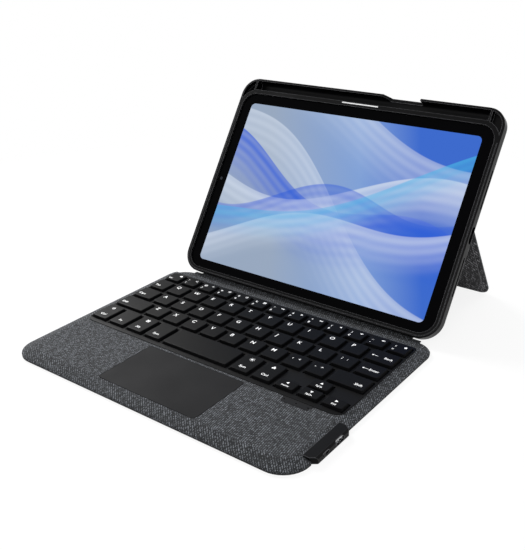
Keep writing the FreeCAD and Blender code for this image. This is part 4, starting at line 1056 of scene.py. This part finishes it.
class CASE_OT_port_bar(bpy.types.Operator):
    """Finishes of the bar with the socket and the switch"""
    bl_idname = "case.port_bar"
    bl_label = "Port bar"

    def execute(self, context):
        look = context.scene.case_shell
        dress([
            # The port bar's edges get the painted highlight
            ("ABS, moulded port bar", moulded_plastic, (look.bar, 0.42, 0.4, 0.01, 0.05, look.painted_edge_highlight),
             ["port_housing"]),
            ("ABS, moulded switch", moulded_plastic, ("#0c0c0d", 0.45, 0.3, 0.01), ["power_switch_knob"]),
            ("Steel, drawn and plated socket", metal, ("#d4d5d6", 0.22, 0.3), ["usb_c_socket"]),
        ])
        return {"FINISHED"}


class CASE_OT_shell_frame(bpy.types.Operator):
    """Finishes of the frame, the back and the hinges"""
    bl_idname = "case.shell_frame"
    bl_label = "Shell"

    def execute(self, context):
        look = context.scene.case_shell
        dress([
            # The frame's edges get the painted highlight
            ("TPU, moulded satin frame", moulded_plastic, (look.frame, 0.32, 0.45, 0.006, 0.08, look.painted_edge_highlight),
             ["shell_bumper_frame"]),
            ("TPU, moulded back panel", moulded_plastic, (look.frame, 0.55, 0.7, 0.02), ["shell_back_panel"]),
            ("Polypropylene, board", moulded_plastic, ("#1b1b1c", 0.6, 0.9, 0.01),
             ["shell_upper_board", "kickstand_board", "spine_stiffener"]),
            ("Steel, blackened hinge", metal, ("#3a3b3d", 0.42, 0.3),
             ["hinge_fixed_leaves", "hinge_moving_leaves", "hinge_pins", "spine_anchor_strip"]),
            # The window's white is a painted highlight: it draws the bright line along the rim, a glint on the
            # tablet's edge in the slot
            ("Polycarbonate, white window", moulded_plastic, ("#f0f0f0", 0.3, 0.5, 0.002),
             ["charging_window"]),
        ])
        return {"FINISHED"}


class CASE_OT_tablet(bpy.types.Operator):
    """Finishes of the tablet in the shell"""
    bl_idname = "case.tablet"
    bl_label = "Tablet"

    def execute(self, context):
        look = context.scene.case_shell
        dress([
            ("Glass, polished black print", polished_glass, (look.glass,), ["tablet_cover_glass"]),
            ("Glass, coated lens", polished_glass, ("#07090f",), ["tablet_rear_camera"]),
            ("Glass, coated front lens", polished_glass, ("#34373d",), ["tablet_front_camera"]),
            ("Aluminium, anodised graphite", metal, (look.metal, 0.4, 0.3), ["tablet_housing"]),
            ("Polypropylene, packed inside", moulded_plastic, ("#2a2a2b", 0.6, 1.0, 0.01), ["tablet_core"]),
            ("Display, lit panel under glass", lit_display, (), ["tablet_display"]),
        ])

        def ringed(name, x, t, profile, material):
            rings = [(arc(x, t, radius, 0, 345, 23), n) for radius, n in profile]
            settle(lofted(name, rings, cap=False), "shell", material, 30.0, shell_matrix())

        # Turned profiles as (radius, depth) in the shell's flat frame
        rim = [(4.4, LENS_SEAT), (4.4, 1.75), (4.2, 1.6), (3.75, 1.6), (3.58, 1.7), (3.58, LENS_SEAT),
               (4.4, LENS_SEAT)]
        lamp = [(0.01, 1.95), (1.3, 1.95), (1.6, 2.05), (1.6, LENS_SEAT), (0.01, LENS_SEAT), (0.01, 1.95)]
        steel = made("Aluminium, turned lens rim", metal, "#6b6e73", 0.3, 0.3)
        clear = made("Polycarbonate, clear flash window", moulded_plastic, "#d9d2bf", 0.25, 0.6, 0.004)
        x, t = look.camera_x, look.camera_t
        for name, step in (("rear_lens_rim_low", -look.lens_step), ("rear_lens_rim_high", look.lens_step)):
            ringed(name, x + step, t + step, rim, steel)
        ringed("rear_flash_window", x + look.lens_step, t - look.lens_step, lamp, clear)
        return {"FINISHED"}


def seen_rays(tree):
    """Socket that is 1 where the eye looks, straight or through a reflection or glass, and 0 for light."""
    ray = add(tree, "ShaderNodeLightPath")
    seen = add(tree, "ShaderNodeMath", {0: ray.outputs["Is Camera Ray"], 1: ray.outputs["Is Glossy Ray"]},
               operation="MAXIMUM")
    return add(tree, "ShaderNodeMath", {0: seen.outputs[0], 1: ray.outputs["Is Transmission Ray"]},
               operation="MAXIMUM").outputs[0]


# Name, place, aim, width and power of each lamp, in metres and watts
SOFTBOXES = [("left_softbox", (-0.85, 0.3, 0.6), (-0.05, -0.03, 0.0), 0.5, 13.0),
             ("front_softbox", (0.35, -1.25, 0.9), (0, -0.02, 0.03), 0.9, 9.0),
             ("rear_softbox", (0.5, 1.2, 1.0), (0, 0.15, 0.08), 0.8, 6.0)]


class CASE_OT_stage(bpy.types.Operator):
    """Pale floor, soft lamps, white surround and the camera"""
    bl_idname = "case.stage"
    bl_label = "Stage"

    def execute(self, context):
        scene = context.scene
        look = scene.case_stage
        scene.view_settings.view_transform = "Standard"
        shape = bmesh.new()
        bmesh.ops.create_grid(shape, x_segments=2, y_segments=2, size=6.0)
        floor = as_object("studio_floor", shape)
        floor.location.z = -FLOOR_DROP * MM
        material, tree, shader = start("Paper, seamless white")
        spot = add(tree, "ShaderNodeTexCoord")
        far = add(tree, "ShaderNodeVectorMath", {0: spot.outputs["Object"]}, operation="LENGTH")
        near, clear, under_part = 0.15, 0.6, 0.84
        bright = add(tree, "ShaderNodeMapRange", {0: far.outputs["Value"], 1: near, 2: clear, 3: under_part,
                                                  4: 1.0})
        share = add(tree, "ShaderNodeMath", {0: seen_rays(tree), 1: bright.outputs[0]}, operation="MULTIPLY")
        glow = add(tree, "ShaderNodeEmission", {0: (1, 1, 1, 1), 1: 1.0})
        finish_surface(tree, shader, {"Base Color": linear(look.floor), "Roughness": 0.9,
                                      "Specular IOR Level": 0.0})
        mixed = add(tree, "ShaderNodeMixShader",
                    {0: share.outputs[0], 1: shader.outputs[0], 2: glow.outputs[0]})
        tree.links.new(mixed.outputs[0], tree.nodes["Material Output"].inputs[0])
        floor.data.materials.append(material)

        world = bpy.data.worlds.new("Studio surround")
        world.use_nodes = True
        tree = world.node_tree
        lit, shown = 0.5, 1.0
        level = add(tree, "ShaderNodeMapRange", {0: seen_rays(tree), 3: lit, 4: shown})
        back = tree.nodes["Background"]
        tree.links.new(level.outputs[0], back.inputs[1])
        back.inputs[0].default_value = (1, 1, 1, 1)
        scene.world = world

        for name, place, aim, size, power in SOFTBOXES:
            lamp = bpy.data.lights.new(name, "AREA")
            lamp.shape = "DISK"
            lamp.size = size
            lamp.energy = power
            holder = bpy.data.objects.new(name, lamp)
            scene.collection.objects.link(holder)
            holder.location = place
            holder.rotation_euler = (Vector(aim) - Vector(place)).to_track_quat("-Z", "Y").to_euler()

        right = Vector((math.cos(look.azimuth), math.sin(look.azimuth), 0))
        flat = math.cos(look.elevation)
        back_way = Vector((right.y * flat, -right.x * flat, math.sin(look.elevation)))
        up = back_way.cross(right)
        c, s = math.cos(look.roll), math.sin(look.roll)
        axes = (right * c + up * s, up * c - right * s, back_way)
        lens = bpy.data.cameras.new("studio_camera")
        lens.lens = look.lens
        lens.sensor_width = 36.0
        lens.clip_start = 0.01
        camera = bpy.data.objects.new("studio_camera", lens)
        scene.collection.objects.link(camera)
        camera.matrix_world = Matrix.Translation(look.place) @ Matrix(axes).transposed().to_4x4()
        scene.camera = camera
        return {"FINISHED"}


OPERATORS = [CASE_OT_base_fabric, CASE_OT_spine_fabric, CASE_OT_back_fabric, CASE_OT_kickstand_fabric,
             CASE_OT_keycaps, CASE_OT_legends, CASE_OT_key_deck, CASE_OT_port_bar, CASE_OT_shell_frame,
             CASE_OT_tablet, CASE_OT_stage]


class CASE_PT_pieces(bpy.types.Panel):
    """Sidebar panel with the pieces"""
    bl_idname = "CASE_PT_pieces"
    bl_label = "Keyboard case"
    bl_space_type = "VIEW_3D"
    bl_region_type = "UI"
    bl_category = "Keyboard case"

    def draw(self, context):
        for operator in OPERATORS:
            self.layout.operator(operator.bl_idname)


CLASSES = list(GROUPS.values()) + OPERATORS + [CASE_PT_pieces]


def register():
    """Registers the classes and hangs the settings on the scene."""
    for item in CLASSES:
        bpy.utils.register_class(item)
    for name, group in GROUPS.items():
        setattr(bpy.types.Scene, name, PointerProperty(type=group))


def unregister():
    """Takes the settings and classes away."""
    for name in GROUPS:
        delattr(bpy.types.Scene, name)
    for item in reversed(CLASSES):
        bpy.utils.unregister_class(item)


def main():
    """Makes every piece."""
    register()
    for operator in OPERATORS:
        group, name = operator.bl_idname.split(".")
        getattr(getattr(bpy.ops, group), name)()


if __name__ == "__main__":
    main()
